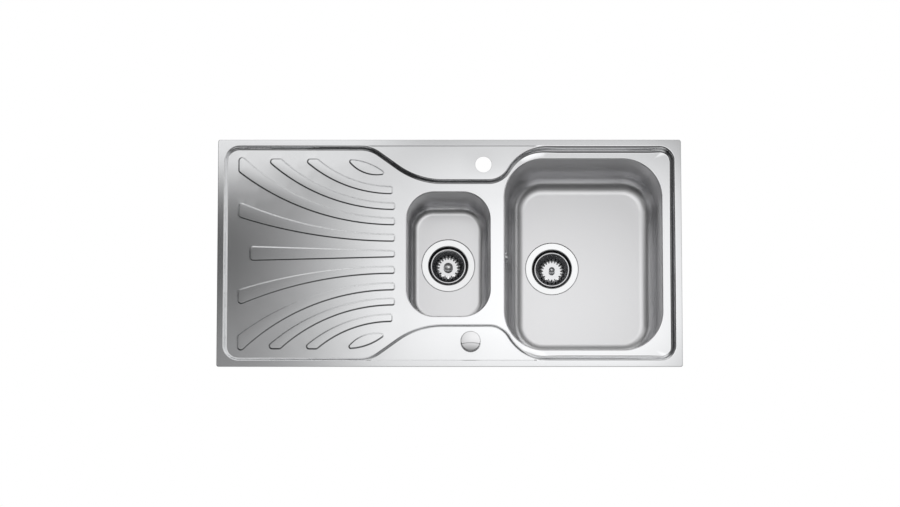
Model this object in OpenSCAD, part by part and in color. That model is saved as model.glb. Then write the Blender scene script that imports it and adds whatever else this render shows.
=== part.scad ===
// Pressed stainless-steel inset kitchen sink: drainer with raised ribs, half bowl and main bowl,
// two strainer wastes, overflow, pop-up control and worktop clips.
// Millimetres. +X right, +Y back, +Z up. The origin is the middle of the sink on the worktop.

/* [Rim and sheet] */
// Overall width, left to right
sink_w = 1000; // [980:5:1030]
// Overall depth, front to back
sink_d = 500; // [490:2:520]
// Thickness of the steel sheet
sheet_t = 1; // [0.8:0.1:1.2]
// Height of the rim's top above the worktop
rim_top = 3; // [2.6:0.1:4]
// Width of the flat rim
rim_w = 13; // [11.5:0.5:14]
// Corner radius of the rim
rim_corner_r = 5; // [2:1:10]
// Gap between the turned-down edge and the worktop
edge_gap = 0.3; // [0.2:0.1:1]

/* [Recess and drainer] */
// Corner radius at the top of the recess
recess_corner_r = 34; // [26:1:45]
// Width in plan of the sloped step down into the recess
step_run = 8; // [6:0.5:10]
// Depth of the recess floor below the rim at the drainer's far end
drainer_drop = 8; // [6:0.5:10]
// Depth of the recess floor below the rim around the bowls
deck_drop = 13; // [11:0.5:15]
// Distance from the half bowl to where the drainer's slope levels out
slope_end_gap = 17; // [6:1:20]
// Height of the drainer's ribs
rib_rise = 2; // [1.6:0.1:3]
// Rounding of the ribs' ends in plan
rib_end_r = 4; // [2:0.5:5]
// Wall of a pressed rib
rib_wall = 1.6; // [1.2:0.1:2]
// Distance from the half bowl to the ribs' right ends
rib_gap = 24; // [22:1:30]

/* [Ledges] */
// Drop from the rim to a ledge
ledge_drop = 1; // [0.6:0.1:1.6]
// Depth of a ledge, from the recess's edge to the ledge's straight edge
ledge_depth = 74; // [70:1:80]
// Distance from the main bowl's left edge to the left end of a ledge's straight edge
ledge_left_gap = 131; // [116:1:146]
// Angle that the left end climbs at
ledge_sweep = 36; // [30:1:40]
// Radius of the left curve's first bend
ledge_left_r = 160; // [140:5:170]
// Radius of the left curve's last bend
ledge_tip_r = 70; // [50:5:80]
// Radius of the corner at the ledge's right end
ledge_fillet_r = 45; // [18:1:50]
// Radius of the curve round the main bowl's corner
ledge_right_r = 102; // [95:1:110]
// Distance from the main bowl's left edge to the middle of the curve round its corner
ledge_right_gap = 96; // [89:1:104]

/* [Bowls] */
// Radius of the rounded lip round each bowl
lip_r = 3; // [3:0.5:7]
// Distance between the bowls
bowl_bridge = 27; // [24:1:34]
// Width of the half bowl
half_w = 184; // [176:1:188]
// Distance from a ledge to the half bowl
half_end_gap = 24; // [20:1:34]
// Corner radius of the half bowl
half_corner_r = 62; // [54:1:70]
// Depth of the half bowl below the recess floor
half_depth = 120; // [100:5:130]
// Slope of the half bowl's walls
half_draft = 2.5; // [1:0.5:4]
// Radius between the half bowl's walls and floor
half_fillet_r = 21; // [12:1:22]
// Distance from the recess's right edge to the main bowl
main_side_gap = 27; // [24:1:32]
// Width of the main bowl
main_w = 344; // [330:1:350]
// Distance from the recess's back and front edges to the main bowl
main_end_gap = 24.5; // [21:0.5:34]
// Corner radius of the main bowl
main_corner_r = 87; // [75:1:95]
// Depth of the main bowl below the recess floor
main_depth = 155; // [145:5:180]
// Slope of the main bowl's walls
main_draft = 3.7; // [2:0.1:4.5]
// Radius between the main bowl's walls and floor
main_fillet_r = 38; // [28:1:42]
// Distance of the main drain from the bowl's middle, towards the left
main_drain_shift = 65; // [50:1:66]

/* [Strainer wastes] */
// Radius of the pressed seat round a drain
seat_r = 58; // [57:0.5:60]
// Depth of the pressed seat
seat_drop = 3; // [2.5:0.1:4]
// Radius of the drain hole
drain_r = 45; // [44.5:0.1:46]
// Gap between a strainer cup and the drain hole
cup_gap = 1.5; // [1:0.1:2]
// Gap between the strainer flange and the edge of the seat
flange_gap = 1; // [0.6:0.1:2]
// Thickness of the seal under the strainer flange
upper_seal_t = 1.1; // [0.8:0.1:1.3]
// Thickness of the seal under the bowl
lower_seal_t = 3; // [2:0.5:4]
// Depth of the strainer cup below its flange
cup_depth = 29; // [28:0.5:34]
// Radius of the waste's clamping screw
center_screw_r = 4; // [3.5:0.1:4.5]
// Wall of the plastic waste body
body_wall = 3; // [2.5:0.5:4]
// Height of the chamber under the strainer cup
chamber_h = 30; // [30:1:38]
// Radius of the threaded outlet
outlet_r = 23.9; // [20:0.1:26]
// Length of the threaded outlet
outlet_len = 25; // [20:1:40]
// Radius of a basket's rim
basket_r = 38; // [35:0.5:40]
// Radius of a basket's floor
basket_floor_r = 27; // [26:0.5:29]
// Height of a basket
basket_h = 18; // [15:1:20]
// Thickness of a basket's foot seal
basket_seal_t = 4; // [3:0.5:5]
// Number of slots in a basket's floor
basket_slots = 20; // [12:1:24]
// Width of a slot in a basket's floor
basket_slot_w = 3; // [1.5:0.1:3.5]
// Radius of the main basket's knob
main_knob_r = 6.5; // [6:0.5:9]
// Radius of the half bowl's basket knob
half_knob_r = 10; // [8:0.5:12]
// Depth of the half bowl's basket knob below its basket's rim
half_knob_drop = 6; // [1:0.5:7]

/* [Pop-up control] */
// Distance of the control knob from the main bowl's left edge
knob_side_gap = 71; // [58:1:76]
// Distance of the control knob from the recess's front edge
knob_edge_gap = 42; // [37:1:45]
// Radius of the control knob
knob_r = 21.5; // [20:0.5:24]
// Height of the control knob
knob_h = 10; // [8:0.5:14]
// Depth of the finger scoop in the front of the control knob
scoop_depth = 4; // [2.5:0.5:5]
// Radius of the holes for a tap and for the control
deck_hole_r = 17.5; // [17:0.1:18]
// Radius of the control's spindle
spindle_r = 4; // [3:0.5:5]
// Running gap round the spindle
spindle_gap = 0.05; // [0.03:0.01:0.1]
// Radius of the cable drum
drum_r = 12; // [10:0.5:13]
// Radius of the cable's sheath
sheath_r = 3.5; // [2.5:0.5:4]
// Radius of the cable's bends
cable_bend_r = 30; // [25:1:34]
// Length of the lift lever from its ball to the lift pin
lever_reach = 60; // [60:1:64]
// Radius of the lift lever's rod
lever_r = 2; // [1.5:0.1:2.2]
// Radius of the lift pin
lift_pin_r = 1.8; // [1.4:0.1:2]
// Gap between the lift pin and the lever at rest
lift_gap = 0.4; // [0.35:0.05:0.6]

/* [Tap hole and overflow] */
// Distance of the tap hole from the main bowl's left edge
tap_side_gap = 43; // [36:1:51]
// Distance of the tap hole from the recess's back edge
tap_edge_gap = 42; // [37:1:45]
// Depth of the overflow below the recess floor
overflow_drop = 40; // [34:1:50]
// Radius of the overflow's hole
overflow_r = 12; // [10:0.5:13]
// Radius of the overflow's rosette
rosette_r = 15; // [14:0.5:17]
// Depth of the overflow elbow behind the bowl
elbow_depth = 20; // [17:0.5:22]
// Outer radius of the overflow hose
hose_r = 11; // [10:0.5:12]
// Depth of the hose's ribs
hose_rib = 1.5; // [1:0.1:2]
// Radius of the hose's bore
hose_bore_r = 8; // [7.5:0.1:8.2]
// Distance between the hose's ribs
hose_pitch = 4; // [3.5:0.5:6]
// Radius of the hose's bend
hose_bend_r = 42; // [36:1:44]

/* [Clips, gasket, pads and tag] */
// Thickness of the worktop that the clips are set for
worktop_t = 38; // [34:1:42]
// Length of a clip rail
rail_len = 90; // [60:5:120]
// Height of a clip rail
rail_h = 27; // [25:1:30]
// Thickness of the rails and brackets
strip_t = 1.5; // [1:0.1:2]
// Width of a clip bracket
bracket_w = 18; // [14:1:24]
// Distance of a clip's screw from its rail
clip_reach = 10; // [9.5:0.5:11]
// Radius of a clip's screw
clip_screw_r = 2.5; // [2:0.1:3]
// Length of a clip's jaw
jaw_len = 48; // [40:1:56]
// Width of a clip's jaw
jaw_w = 13; // [11:1:15]
// Thickness of the gasket under the rim
gasket_t = 2; // [1.5:0.1:2]
// Width of the gasket
gasket_w = 8.5; // [6:0.5:9]
// Thickness of the sound-damping pads
pad_t = 3; // [2:0.5:4]
// Radius of the hole in the earth tag
tag_hole_r = 2.6; // [2.1:0.1:3.1]

/* [Hidden] */

// Facets of round pieces
round_fn = 96;
small_fn = 32;

// Levels
rim_z = rim_top - sheet_t;
ledge_z = rim_top - ledge_drop;
ledge_bottom = ledge_z - sheet_t;
drainer_z = rim_top - drainer_drop;
deck_z = rim_top - deck_drop;

// Places in plan: all of them follow from the recess and the bowls' widths
recess_x = sink_w / 2 - rim_w;
recess_y = sink_d / 2 - rim_w;
main_x = recess_x - main_side_gap - main_w / 2;
main_left = main_x - main_w / 2;
main_l = 2 * (recess_y - main_end_gap);
half_x = main_left - bowl_bridge - half_w / 2;
half_left = half_x - half_w / 2;
ledge_y = recess_y - ledge_depth;
half_l = 2 * (ledge_y - half_end_gap);
ledge_left_x = main_left - ledge_left_gap;
ledge_right_x = main_left + ledge_right_gap;
slope_end_x = half_left - slope_end_gap;
knob_x = main_left - knob_side_gap;
knob_y = recess_y - knob_edge_gap;
tap_x = main_left - tap_side_gap;
tap_y = recess_y - tap_edge_gap;

// Recess outline
wall_inset = step_run / 2;
hole_inset = wall_inset + sheet_t;
sweep_rise = 1 - cos(ledge_sweep);
ramp_len = (recess_y - ledge_y - (ledge_left_r + ledge_tip_r) * sweep_rise) / sin(ledge_sweep);
tip_x = ledge_left_x - (ledge_left_r + ledge_tip_r) * sin(ledge_sweep) - ramp_len * cos(ledge_sweep);
fillet_y = ledge_y + ledge_fillet_r;
right_y = recess_y - ledge_right_r;
fillet_x = ledge_right_x
    - sqrt(pow(ledge_right_r + ledge_fillet_r, 2) - pow(fillet_y - right_y, 2));
blend_angle = atan2(fillet_y - right_y, ledge_right_x - fillet_x);

function arc(middle, r, from, to, steps) =
    [for (i = [0:steps]) let (a = from + (to - from) * i / steps)
        [middle.x + r * cos(a), middle.y + r * sin(a)]];

recess_back = concat(
    arc([recess_corner_r - recess_x, recess_y - recess_corner_r], recess_corner_r, 180, 90, 10),
    arc([tip_x, recess_y - ledge_tip_r], ledge_tip_r, 90, 90 - ledge_sweep, 5),
    arc([ledge_left_x, ledge_y + ledge_left_r], ledge_left_r, 270 - ledge_sweep, 270, 8),
    arc([fillet_x, fillet_y], ledge_fillet_r, 270, 360 - blend_angle, 6),
    arc([ledge_right_x, right_y], ledge_right_r, 180 - blend_angle, 90, 8),
    arc([recess_x - recess_corner_r, recess_y - recess_corner_r], recess_corner_r, 90, 0, 10));
recess_front = [for (i = [len(recess_back) - 1:-1:0]) [recess_back[i].x, -recess_back[i].y]];

// Curved ribs behind the middle line: right end, low edge [y, radius], high edge [y, radius],
// and where the left end is cut off, either at an x or at a y
rib_right_x = half_left - rib_gap;
rib_low_cut_x = 32 - recess_x;
rib_high_cut_y = recess_y - 28;
long_ribs = [
    [rib_right_x, [28, 1095], [42.9, 829], rib_low_cut_x, sink_d],
    [rib_right_x, [64.2, 542], [79.1, 467], rib_low_cut_x, sink_d],
    [rib_right_x, [97.9, 402], [112.3, 358], -sink_w, rib_high_cut_y],
    [rib_right_x - 5, [132.8, 279], [148.5, 244.5], -sink_w, rib_high_cut_y]
];
middle_rib = [[rib_right_x, 6.5], [57 - recess_x, 15.3]];
leaf_rib = [[rib_right_x - 101, recess_y - 29], [rib_right_x - 19, recess_y - 60]];
leaf_bulge = [14, 8];

// The angle along a rib's edge at which it reaches its cut
function edge_angle(right_x, edge, cut_x, cut_y) = min(
    asin(min(1, (right_x - cut_x) / edge[1])),
    acos(max(-1, 1 - (cut_y - edge[0]) / edge[1])));
function rib_edge(right_x, edge, cut_x, cut_y, steps) =
    let (last = edge_angle(right_x, edge, cut_x, cut_y))
    [for (i = [0:steps]) let (a = last * i / steps)
        [right_x - edge[1] * sin(a), edge[0] + edge[1] * (1 - cos(a))]];
function reversed(points) = [for (i = [len(points) - 1:-1:0]) points[i]];

// An arc from p to q whose middle stands off the chord by bulge, to the right of p to q
function bulged(p, q, bulge, steps) =
    let (chord = norm(q - p), u = (q - p) / chord, n = [u.y, -u.x],
         r = (chord * chord / 4 + bulge * bulge) / (2 * bulge),
         half = asin(chord / 2 / r), m = (p + q) / 2 + n * (bulge - r))
    [for (i = [0:steps]) let (a = -half + 2 * half * i / steps) m + r * (u * sin(a) + n * cos(a))];

// Rounded rectangle whose corner facets lie just outside the true arcs, so that a rounded piece
// fits in it
function rounded_points(w, l, r, steps) =
    [for (q = [0:3], i = [0:steps - 1])
        let (a = 90 * q + 90 * (i + 0.5) / steps, s = r / cos(45 / steps),
             cx = (q == 0 || q == 3 ? 1 : -1) * (w / 2 - r), cy = (q < 2 ? 1 : -1) * (l / 2 - r))
        [cx + s * cos(a), cy + s * sin(a)]];

// Section of a bowl's wall: inwards from the rim line, and down from the recess floor
flat_lap = 2;
function fillet_place(depth, draft, r) =
    let (from_z = -depth + r - r * sin(draft))
    lip_r * cos(draft) + (lip_r * (sin(draft) - 1) - from_z) * tan(draft) + r * cos(draft);
function wall_face(depth, draft, r, in) =
    let (x = fillet_place(depth, draft, r))
    concat(
        [for (i = [0:5]) let (a = (90 - draft) * i / 5)
            [(lip_r - in) * sin(a), -lip_r + (lip_r - in) * cos(a)]],
        [for (i = [0:8]) let (a = 180 + draft + (90 - draft) * i / 8)
            [x + (r + in) * cos(a), r - depth + (r + in) * sin(a)]],
        [[x + flat_lap, -depth - in]]);
function wall_section(depth, draft, r) =
    concat(wall_face(depth, draft, r, 0), reversed(wall_face(depth, draft, r, sheet_t)));

// Wastes, measured down from a bowl's floor
main_drain_x = main_x - main_drain_shift;
main_floor_z = deck_z - main_depth;
half_floor_z = deck_z - half_depth;
flange_r = seat_r - flange_gap;
cup_r = drain_r - cup_gap - sheet_t;
flange_top = upper_seal_t + sheet_t - seat_drop;
cup_floor = flange_top - cup_depth;
seal_lap = 2;
body_top = -seat_drop - sheet_t - lower_seal_t;
body_r = drain_r - 0.5;
body_rim_r = 54;
body_rim_t = 5;
column_r = 8;
column_h = 9;
column_gap = 0.1;
chamber_floor = cup_floor - sheet_t - chamber_h;
screw_head_r = 8;
screw_head_t = 3;
cup_hole_r = center_screw_r + 0.3;
cup_vent_ring = 17.5;
cup_vent_r = 5.5;
column_top = cup_floor - sheet_t;
spider_t = 3;
basket_floor = cup_floor + basket_seal_t + sheet_t;
basket_top = basket_floor + basket_h;
slot_from = 20;
slot_to = basket_floor_r - 2.5;
basket_hole_r = 2;
stem_r = 3;
stem_gap = 0.05;
knob_cap_t = 5;
main_knob_drop = 1;

// Lift lever under the main bowl, measured from the main drain's middle
lever_drop = 21;
lever_local_z = cup_floor - lever_drop;
port_r = 9;
port_collar_r = 12;
port_end = 69;
port_wall = 2.7;
ball_gap = 0.3;
ball_r = port_r - port_wall - ball_gap;
anchor_t = 2;
collar_end = body_r + body_wall + 1.5;
nut_wall = 3;
nut_face = 4;
crank_y = 84;
crank_h = 22;
anchor_y = 110;
anchor_side = 13;
nipple_r = 3;

// Pop-up control
housing_flange_t = 1.5;
housing_flange_r = knob_r - 1.5;
barrel_gap = 0.5;
barrel_r = deck_hole_r - barrel_gap;
barrel_h = 18;
knob_gap = 0.3;
knob_foot = ledge_z + housing_flange_t + knob_gap;
knob_socket = 5;
washer_t = 2;
nut_t = 6;
drum_t = 8;
drum_gap = 4;
drum_top = ledge_z - barrel_h - drum_gap;
arm_from = 20;
arm_to = 30;
nut_lap = 8;
scoop_r = 26;
scoop_edge = 3;
scoop_y = scoop_edge + sqrt(pow(scoop_r, 2) - pow(scoop_r - scoop_depth, 2));
arm_w = 9;
cable_z = drum_top - drum_t / 2;
sheath_lap = 5;
cable_y = -knob_y - drum_r;
cable_down_x = main_left - 4;
cable_low_z = main_floor_z + lever_local_z + crank_h;

// Overflow: the place on the inner face of the main bowl's left wall
overflow_z = deck_z - overflow_drop;
overflow_x = main_x - main_w / 2 + lip_r * cos(main_draft)
    + (lip_r * (sin(main_draft) - 1) + overflow_drop) * tan(main_draft);
rosette_t = 1.5;
overflow_screw_r = 2.5;
elbow_wall = 2;
overflow_seal_t = 2;
elbow_r = overflow_r + 3;
boss_r = 4.5;
elbow_back = -sheet_t - overflow_seal_t - elbow_depth;
hose_x = overflow_x - sheet_t - overflow_seal_t - elbow_depth / 2;
neck_r = 9;
hose_top = overflow_z - elbow_r - 6;
spigot_r = hose_bore_r * cos(180 / 8) - 0.4;
spigot_bore = 5;
spigot_len = 14;
inlet_drop = 12;
hose_z = main_floor_z + cup_floor - inlet_drop;
hose_end = main_drain_x - body_r - body_wall - 4;
hose_sides = 8;
hose_clip_w = 7;
hose_clip_t = 1.2;
hose_clip_gap = 0.2;

// Clips: place of each rail's middle and the way that it faces
rail_x = recess_x - wall_inset;
rail_y = recess_y - wall_inset;
clip_far_x = recess_x - 147;
clip_main_x = main_x + 42;
clip_back_x = half_x - 37;
clip_front_x = half_x + 3;
clips = [
    [-clip_far_x, rail_y, 90], [clip_back_x, rail_y, 90], [clip_main_x, rail_y, 90],
    [rail_x, 0, 0],
    [clip_main_x, -rail_y, -90], [clip_front_x, -rail_y, -90], [-clip_far_x, -rail_y, -90],
    [-rail_x, 0, 180]
];
rail_top = ledge_bottom;
bracket_top = deck_z - sheet_t - 1;
bracket_bottom = rail_top - rail_h;
jaw_tooth = 3;
jaw_t = 9;
jaw_gap = 0.1;
jaw_top = -worktop_t - jaw_tooth;
clip_screw_end = jaw_top - jaw_t - 12;
clip_head_r = 5;
clip_head_t = 4;

// Gasket, pads and tag
gasket_inset = 2;
pad_round = 8;
main_pad = [100, 200];
main_pad_shift = 57;
half_pad_from = body_rim_r + 10;
half_pad_to = half_l / 2 - 33;
half_pad_w = 90;
tag_x = ledge_left_x - 75;
tag_y = recess_y - 32;
tag_w = 16;
tag_h = 18;
tag_drop = 11;

module tube(outer_r, inner_r, bottom, top, fn = round_fn) {
    translate([0, 0, bottom]) difference() {
        cylinder(h = top - bottom, r = outer_r, $fn = fn);
        translate([0, 0, -1]) cylinder(h = top - bottom + 2, r = inner_r, $fn = fn);
    }
}

module along_x(x, z) {
    translate([x, 0, z]) rotate([0, 90, 0]) children();
}

module along_front(y, z) {
    translate([0, -y, z]) rotate([90, 0, 0]) children();
}

module at_main_drain() {
    translate([main_drain_x, 0, main_floor_z]) children();
}

module at_half_drain() {
    translate([half_x, 0, half_floor_z]) children();
}

// The recess in plan, drawn in from its top edge
module recess_plan(inset) {
    offset(delta = -inset) polygon(concat(recess_back, recess_front));
}

// A layer that follows the recess floor, which slopes along the drainer and is level at the bowls
module floor_layer(below, above) {
    far = sink_w;
    slope = (drainer_z - deck_z) / (slope_end_x + recess_x);
    left_z = deck_z + slope * (slope_end_x + far);
    line = [[-far, left_z], [slope_end_x, deck_z], [far, deck_z]];
    rotate([90, 0, 0]) linear_extrude(height = sink_d, center = true) polygon(concat(
        [for (p = line) [p.x, p.y + above]],
        reversed([for (p = line) [p.x, p.y - below]])));
}

module long_rib_plan(rib) {
    polygon(concat(
        rib_edge(rib[0], rib[1], rib[3], rib[4], 10),
        reversed(rib_edge(rib[0], rib[2], rib[3], rib[4], 10))));
}

module rib_plans() {
    round_ends() polygon([
        [middle_rib[0].x, -middle_rib[0].y], [middle_rib[0].x, middle_rib[0].y],
        [middle_rib[1].x, middle_rib[1].y], [middle_rib[1].x, -middle_rib[1].y]]);
    for (side = [0, 1]) mirror([0, side, 0]) {
        for (rib = long_ribs) round_ends() long_rib_plan(rib);
        round_ends() polygon(concat(
            bulged(leaf_rib[0], leaf_rib[1], leaf_bulge[0], 8),
            reversed(bulged(leaf_rib[0], leaf_rib[1], -leaf_bulge[1], 8))));
    }
}

module round_ends() {
    offset(r = rib_end_r, $fn = 16) offset(delta = -rib_end_r) children();
}

module ribs(inset, below, above) {
    intersection() {
        translate([0, 0, -deck_drop * 2]) linear_extrude(height = deck_drop * 4)
            offset(delta = -inset) rib_plans();
        floor_layer(below, above);
    }
}

module bowl_opening(x, w, l, r) {
    translate([x, 0, deck_z - 2 * sheet_t]) linear_extrude(height = 4 * sheet_t)
        polygon(rounded_points(w, l, r, 16));
}

// The field in plan that holds both ledges and runs past them into the recess
module ledge_field(grow) {
    for (side = [0, 1]) mirror([0, side, 0]) translate([tip_x - grow, ledge_y - step_run])
        square([ledge_right_x - tip_x + 2 * grow, recess_y + grow - ledge_y + step_run]);
}

module rim_plate() {
    translate([0, 0, rim_z]) linear_extrude(height = sheet_t) difference() {
        polygon(rounded_points(sink_w, sink_d, rim_corner_r, 6));
        recess_plan(hole_inset);
        ledge_field(0);
    }
    translate([0, 0, edge_gap]) linear_extrude(height = rim_top - edge_gap) difference() {
        polygon(rounded_points(sink_w, sink_d, rim_corner_r, 6));
        polygon(rounded_points(sink_w - 2 * sheet_t, sink_d - 2 * sheet_t,
            rim_corner_r - sheet_t, 6));
    }
}

module ledge_plates() {
    translate([0, 0, ledge_bottom]) {
        linear_extrude(height = sheet_t) difference() {
            ledge_field(sheet_t);
            recess_plan(hole_inset);
        }
        linear_extrude(height = rim_top - ledge_bottom) difference() {
            ledge_field(sheet_t);
            ledge_field(0);
            recess_plan(hole_inset);
        }
    }
}

module recess_block(inset, bottom_z, top_z, below, above) {
    intersection() {
        translate([0, 0, bottom_z]) linear_extrude(height = top_z - bottom_z) recess_plan(inset);
        floor_layer(below, above);
    }
}

module recess_tray() {
    reach = 3 * deck_drop;
    difference() {
        recess_block(wall_inset, -reach, rim_z, sheet_t, reach);
        recess_block(hole_inset, -reach, reach, 0, reach + 1);
        translate([0, 0, ledge_z]) linear_extrude(height = reach) ledge_field(0);
    }
}

module deck() color("lightgray") difference() {
    union() {
        rim_plate();
        ledge_plates();
        recess_tray();
        ribs(0, sheet_t / 2, rib_rise);
    }
    ribs(rib_wall, 4 * sheet_t, rib_rise - sheet_t);
    bowl_opening(half_x, half_w, half_l, half_corner_r);
    bowl_opening(main_x, main_w, main_l, main_corner_r);
    for (hole = [[tap_x, tap_y], [knob_x, -knob_y]])
        translate([hole.x, hole.y, ledge_bottom - 1])
            cylinder(h = sheet_t + 2, r = deck_hole_r, $fn = round_fn);
}

module bowl_wall(section, half_span, run) {
    rotate([90, 0, 0]) linear_extrude(height = run, center = true)
        polygon([for (p = section) [half_span - p.x, p.y]]);
}

module bowl_shell(w, l, r, depth, draft, floor_r, drain_shift) {
    section = wall_section(depth, draft, floor_r);
    floor_inset = fillet_place(depth, draft, floor_r) + flat_lap / 2;
    difference() {
        union() {
            for (a = [0, 180]) rotate([0, 0, a]) bowl_wall(section, w / 2, l - 2 * r);
            for (a = [90, 270]) rotate([0, 0, a]) bowl_wall(section, l / 2, w - 2 * r);
            for (q = [0:3]) translate([(q == 0 || q == 3 ? 1 : -1) * (w / 2 - r),
                    (q < 2 ? 1 : -1) * (l / 2 - r), 0])
                rotate([0, 0, 90 * q]) rotate_extrude(angle = 90, $fn = round_fn)
                    polygon([for (p = section) [r - p.x, p.y]]);
            translate([0, 0, -depth - sheet_t]) linear_extrude(height = sheet_t)
                polygon(rounded_points(w - 2 * floor_inset, l - 2 * floor_inset, r - floor_inset, 12));
            translate([-drain_shift, 0, -depth]) rotate_extrude($fn = round_fn) polygon([
                [drain_r, -seat_drop], [seat_r, -seat_drop], [seat_r, 0], [seat_r + sheet_t, 0],
                [seat_r + sheet_t, -seat_drop - sheet_t], [drain_r, -seat_drop - sheet_t]]);
        }
        translate([-drain_shift, 0, -depth - seat_drop])
            cylinder(h = 2 * seat_drop, r = seat_r, $fn = round_fn);
        translate([-drain_shift, 0, -depth - 2 * seat_drop])
            cylinder(h = 2 * seat_drop, r = drain_r, $fn = round_fn);
    }
}

// The frame of the overflow: +X runs square to the bowl's wall, into the bowl
module at_overflow() {
    translate([overflow_x, 0, overflow_z]) rotate([0, -main_draft, 0]) rotate([0, 90, 0]) children();
}

module main_bowl() color("silver") difference() {
    translate([main_x, 0, deck_z]) bowl_shell(main_w, main_l, main_corner_r, main_depth,
        main_draft, main_fillet_r, main_drain_shift);
    at_overflow() translate([0, 0, -3 * sheet_t])
        cylinder(h = 6 * sheet_t, r = overflow_r, $fn = round_fn);
}

module half_bowl() color("silver")
    translate([half_x, 0, deck_z]) bowl_shell(half_w, half_l, half_corner_r, half_depth,
        half_draft, half_fillet_r, 0);

module rim_gasket() color("dimgray") linear_extrude(height = gasket_t) difference() {
    polygon(rounded_points(sink_w - 2 * gasket_inset, sink_d - 2 * gasket_inset,
        rim_corner_r - sheet_t, 6));
    polygon(rounded_points(sink_w - 2 * (gasket_inset + gasket_w), sink_d - 2 * (gasket_inset + gasket_w),
        rim_corner_r - sheet_t, 6));
}

// Worktop clips. In a clip's frame +X faces outwards and x = 0 is the outer face of the recess wall
module at_clip(i) {
    translate([clips[i].x, clips[i].y, 0]) rotate([0, 0, clips[i].z]) children();
}

module clip_rails() color("gainsboro")
    for (i = [0:len(clips) - 1]) at_clip(i)
        translate([0, -rail_len / 2, rail_top - rail_h]) cube([strip_t, rail_len, rail_h]);

module clip_brackets() color("gainsboro")
    for (i = [0:len(clips) - 1]) at_clip(i) difference() {
        union() {
            translate([-strip_t, -bracket_w / 2, bracket_bottom])
                cube([strip_t, bracket_w, bracket_top - bracket_bottom]);
            for (z = [bracket_bottom, bracket_top - strip_t])
                translate([-1.6 * clip_reach, -bracket_w / 2, z])
                    cube([1.6 * clip_reach, bracket_w, strip_t]);
        }
        translate([-clip_reach, 0, bracket_bottom - 1])
            cylinder(h = rail_h, r = clip_screw_r + jaw_gap, $fn = small_fn);
    }

module clip_screws() color("silver")
    for (i = [0:len(clips) - 1]) at_clip(i) translate([-clip_reach, 0, 0]) {
        translate([0, 0, clip_screw_end])
            cylinder(h = bracket_top - clip_screw_end, r = clip_screw_r, $fn = small_fn);
        translate([0, 0, clip_screw_end - clip_head_t])
            cylinder(h = clip_head_t, r = clip_head_r, $fn = small_fn);
    }

module clip_jaw(number) color("slategray")
    at_clip(number - 1) translate([-clip_reach, 0, jaw_top - jaw_t]) difference() {
        union() {
            cylinder(h = jaw_t, r = jaw_w / 2, $fn = small_fn);
            translate([-jaw_w / 2, -jaw_len, 0]) cube([jaw_w, jaw_len, jaw_t]);
            translate([-jaw_w / 2, -jaw_len, jaw_t]) cube([jaw_w, jaw_tooth, jaw_tooth]);
        }
        translate([0, 0, -1]) cylinder(h = jaw_t + 2, r = clip_screw_r + jaw_gap, $fn = small_fn);
    }

// Strainer wastes, in a drain's frame: z = 0 is the bowl's floor
module strainer_flange() color("whitesmoke") difference() {
    rotate_extrude($fn = round_fn) polygon([
        [cup_hole_r, cup_floor], [cup_r, cup_floor], [cup_r, flange_top], [flange_r, flange_top],
        [flange_r, flange_top - sheet_t], [cup_r + sheet_t, flange_top - sheet_t],
        [cup_r + sheet_t, cup_floor - sheet_t], [cup_hole_r, cup_floor - sheet_t]]);
    for (i = [0:7]) rotate([0, 0, 45 * i]) translate([cup_vent_ring, 0, cup_floor - 2 * sheet_t])
        cylinder(h = 3 * sheet_t, r = cup_vent_r, $fn = small_fn);
}

module upper_seal() color("black")
    tube(flange_r - seal_lap, drain_r + seal_lap / 2, -seat_drop, upper_seal_t - seat_drop);

module lower_seal() color("black")
    tube(body_rim_r, drain_r + seal_lap / 2, body_top, body_top + lower_seal_t);

module waste_body() {
    rotate_extrude($fn = round_fn) polygon([
        [body_r, body_top], [body_rim_r, body_top], [body_rim_r, body_top - body_rim_t],
        [body_r + body_wall, body_top - body_rim_t], [body_r + body_wall, chamber_floor - body_wall],
        [outlet_r, chamber_floor - body_wall], [outlet_r, chamber_floor - body_wall - outlet_len],
        [outlet_r - body_wall, chamber_floor - body_wall - outlet_len],
        [outlet_r - body_wall, chamber_floor], [body_r, chamber_floor]]);
    tube(column_r, center_screw_r + column_gap, column_top - column_h, column_top, small_fn);
    for (a = [90, 210, 330]) rotate([0, 0, a])
        translate([column_r - 1, -spider_t / 2, column_top - column_h])
            cube([body_r + body_wall / 2 - column_r + 1, spider_t, column_h - spider_t]);
}

module center_screw(bore_r) color("silver") difference() {
    union() {
        translate([0, 0, cup_floor]) cylinder(h = screw_head_t, r = screw_head_r, $fn = small_fn);
        translate([0, 0, column_top - column_h - 1])
            cylinder(h = column_h + sheet_t + 2, r = center_screw_r, $fn = small_fn);
    }
    if (bore_r > 0) translate([0, 0, chamber_floor])
        cylinder(h = -chamber_floor, r = bore_r, $fn = small_fn);
    else translate([-screw_head_r - 1, -0.75, cup_floor + screw_head_t - 1.5])
        cube([2 * screw_head_r + 2, 1.5, 2]);
}

module basket() color("silver") difference() {
    rotate_extrude($fn = round_fn) polygon([
        [stem_r + stem_gap, basket_floor], [basket_floor_r - 1, basket_floor],
        [basket_r - 3, basket_top], [basket_r, basket_top], [basket_r, basket_top - sheet_t],
        [basket_r - 1.8, basket_top - sheet_t], [basket_floor_r + 0.2, basket_floor - sheet_t],
        [stem_r + stem_gap, basket_floor - sheet_t]]);
    for (i = [0:basket_slots - 1]) rotate([0, 0, 360 * i / basket_slots]) {
        translate([slot_from, -basket_slot_w / 2, basket_floor - 2 * sheet_t])
            cube([slot_to - slot_from, basket_slot_w, 3 * sheet_t]);
        translate([basket_floor_r, 0, basket_floor + basket_h / 2]) rotate([0, 90, 0])
            cylinder(h = basket_r, r = basket_hole_r, $fn = 16);
    }
}

module basket_seal() color("black")
    tube(basket_floor_r + seal_lap, slot_to, cup_floor, cup_floor + basket_seal_t);

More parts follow.
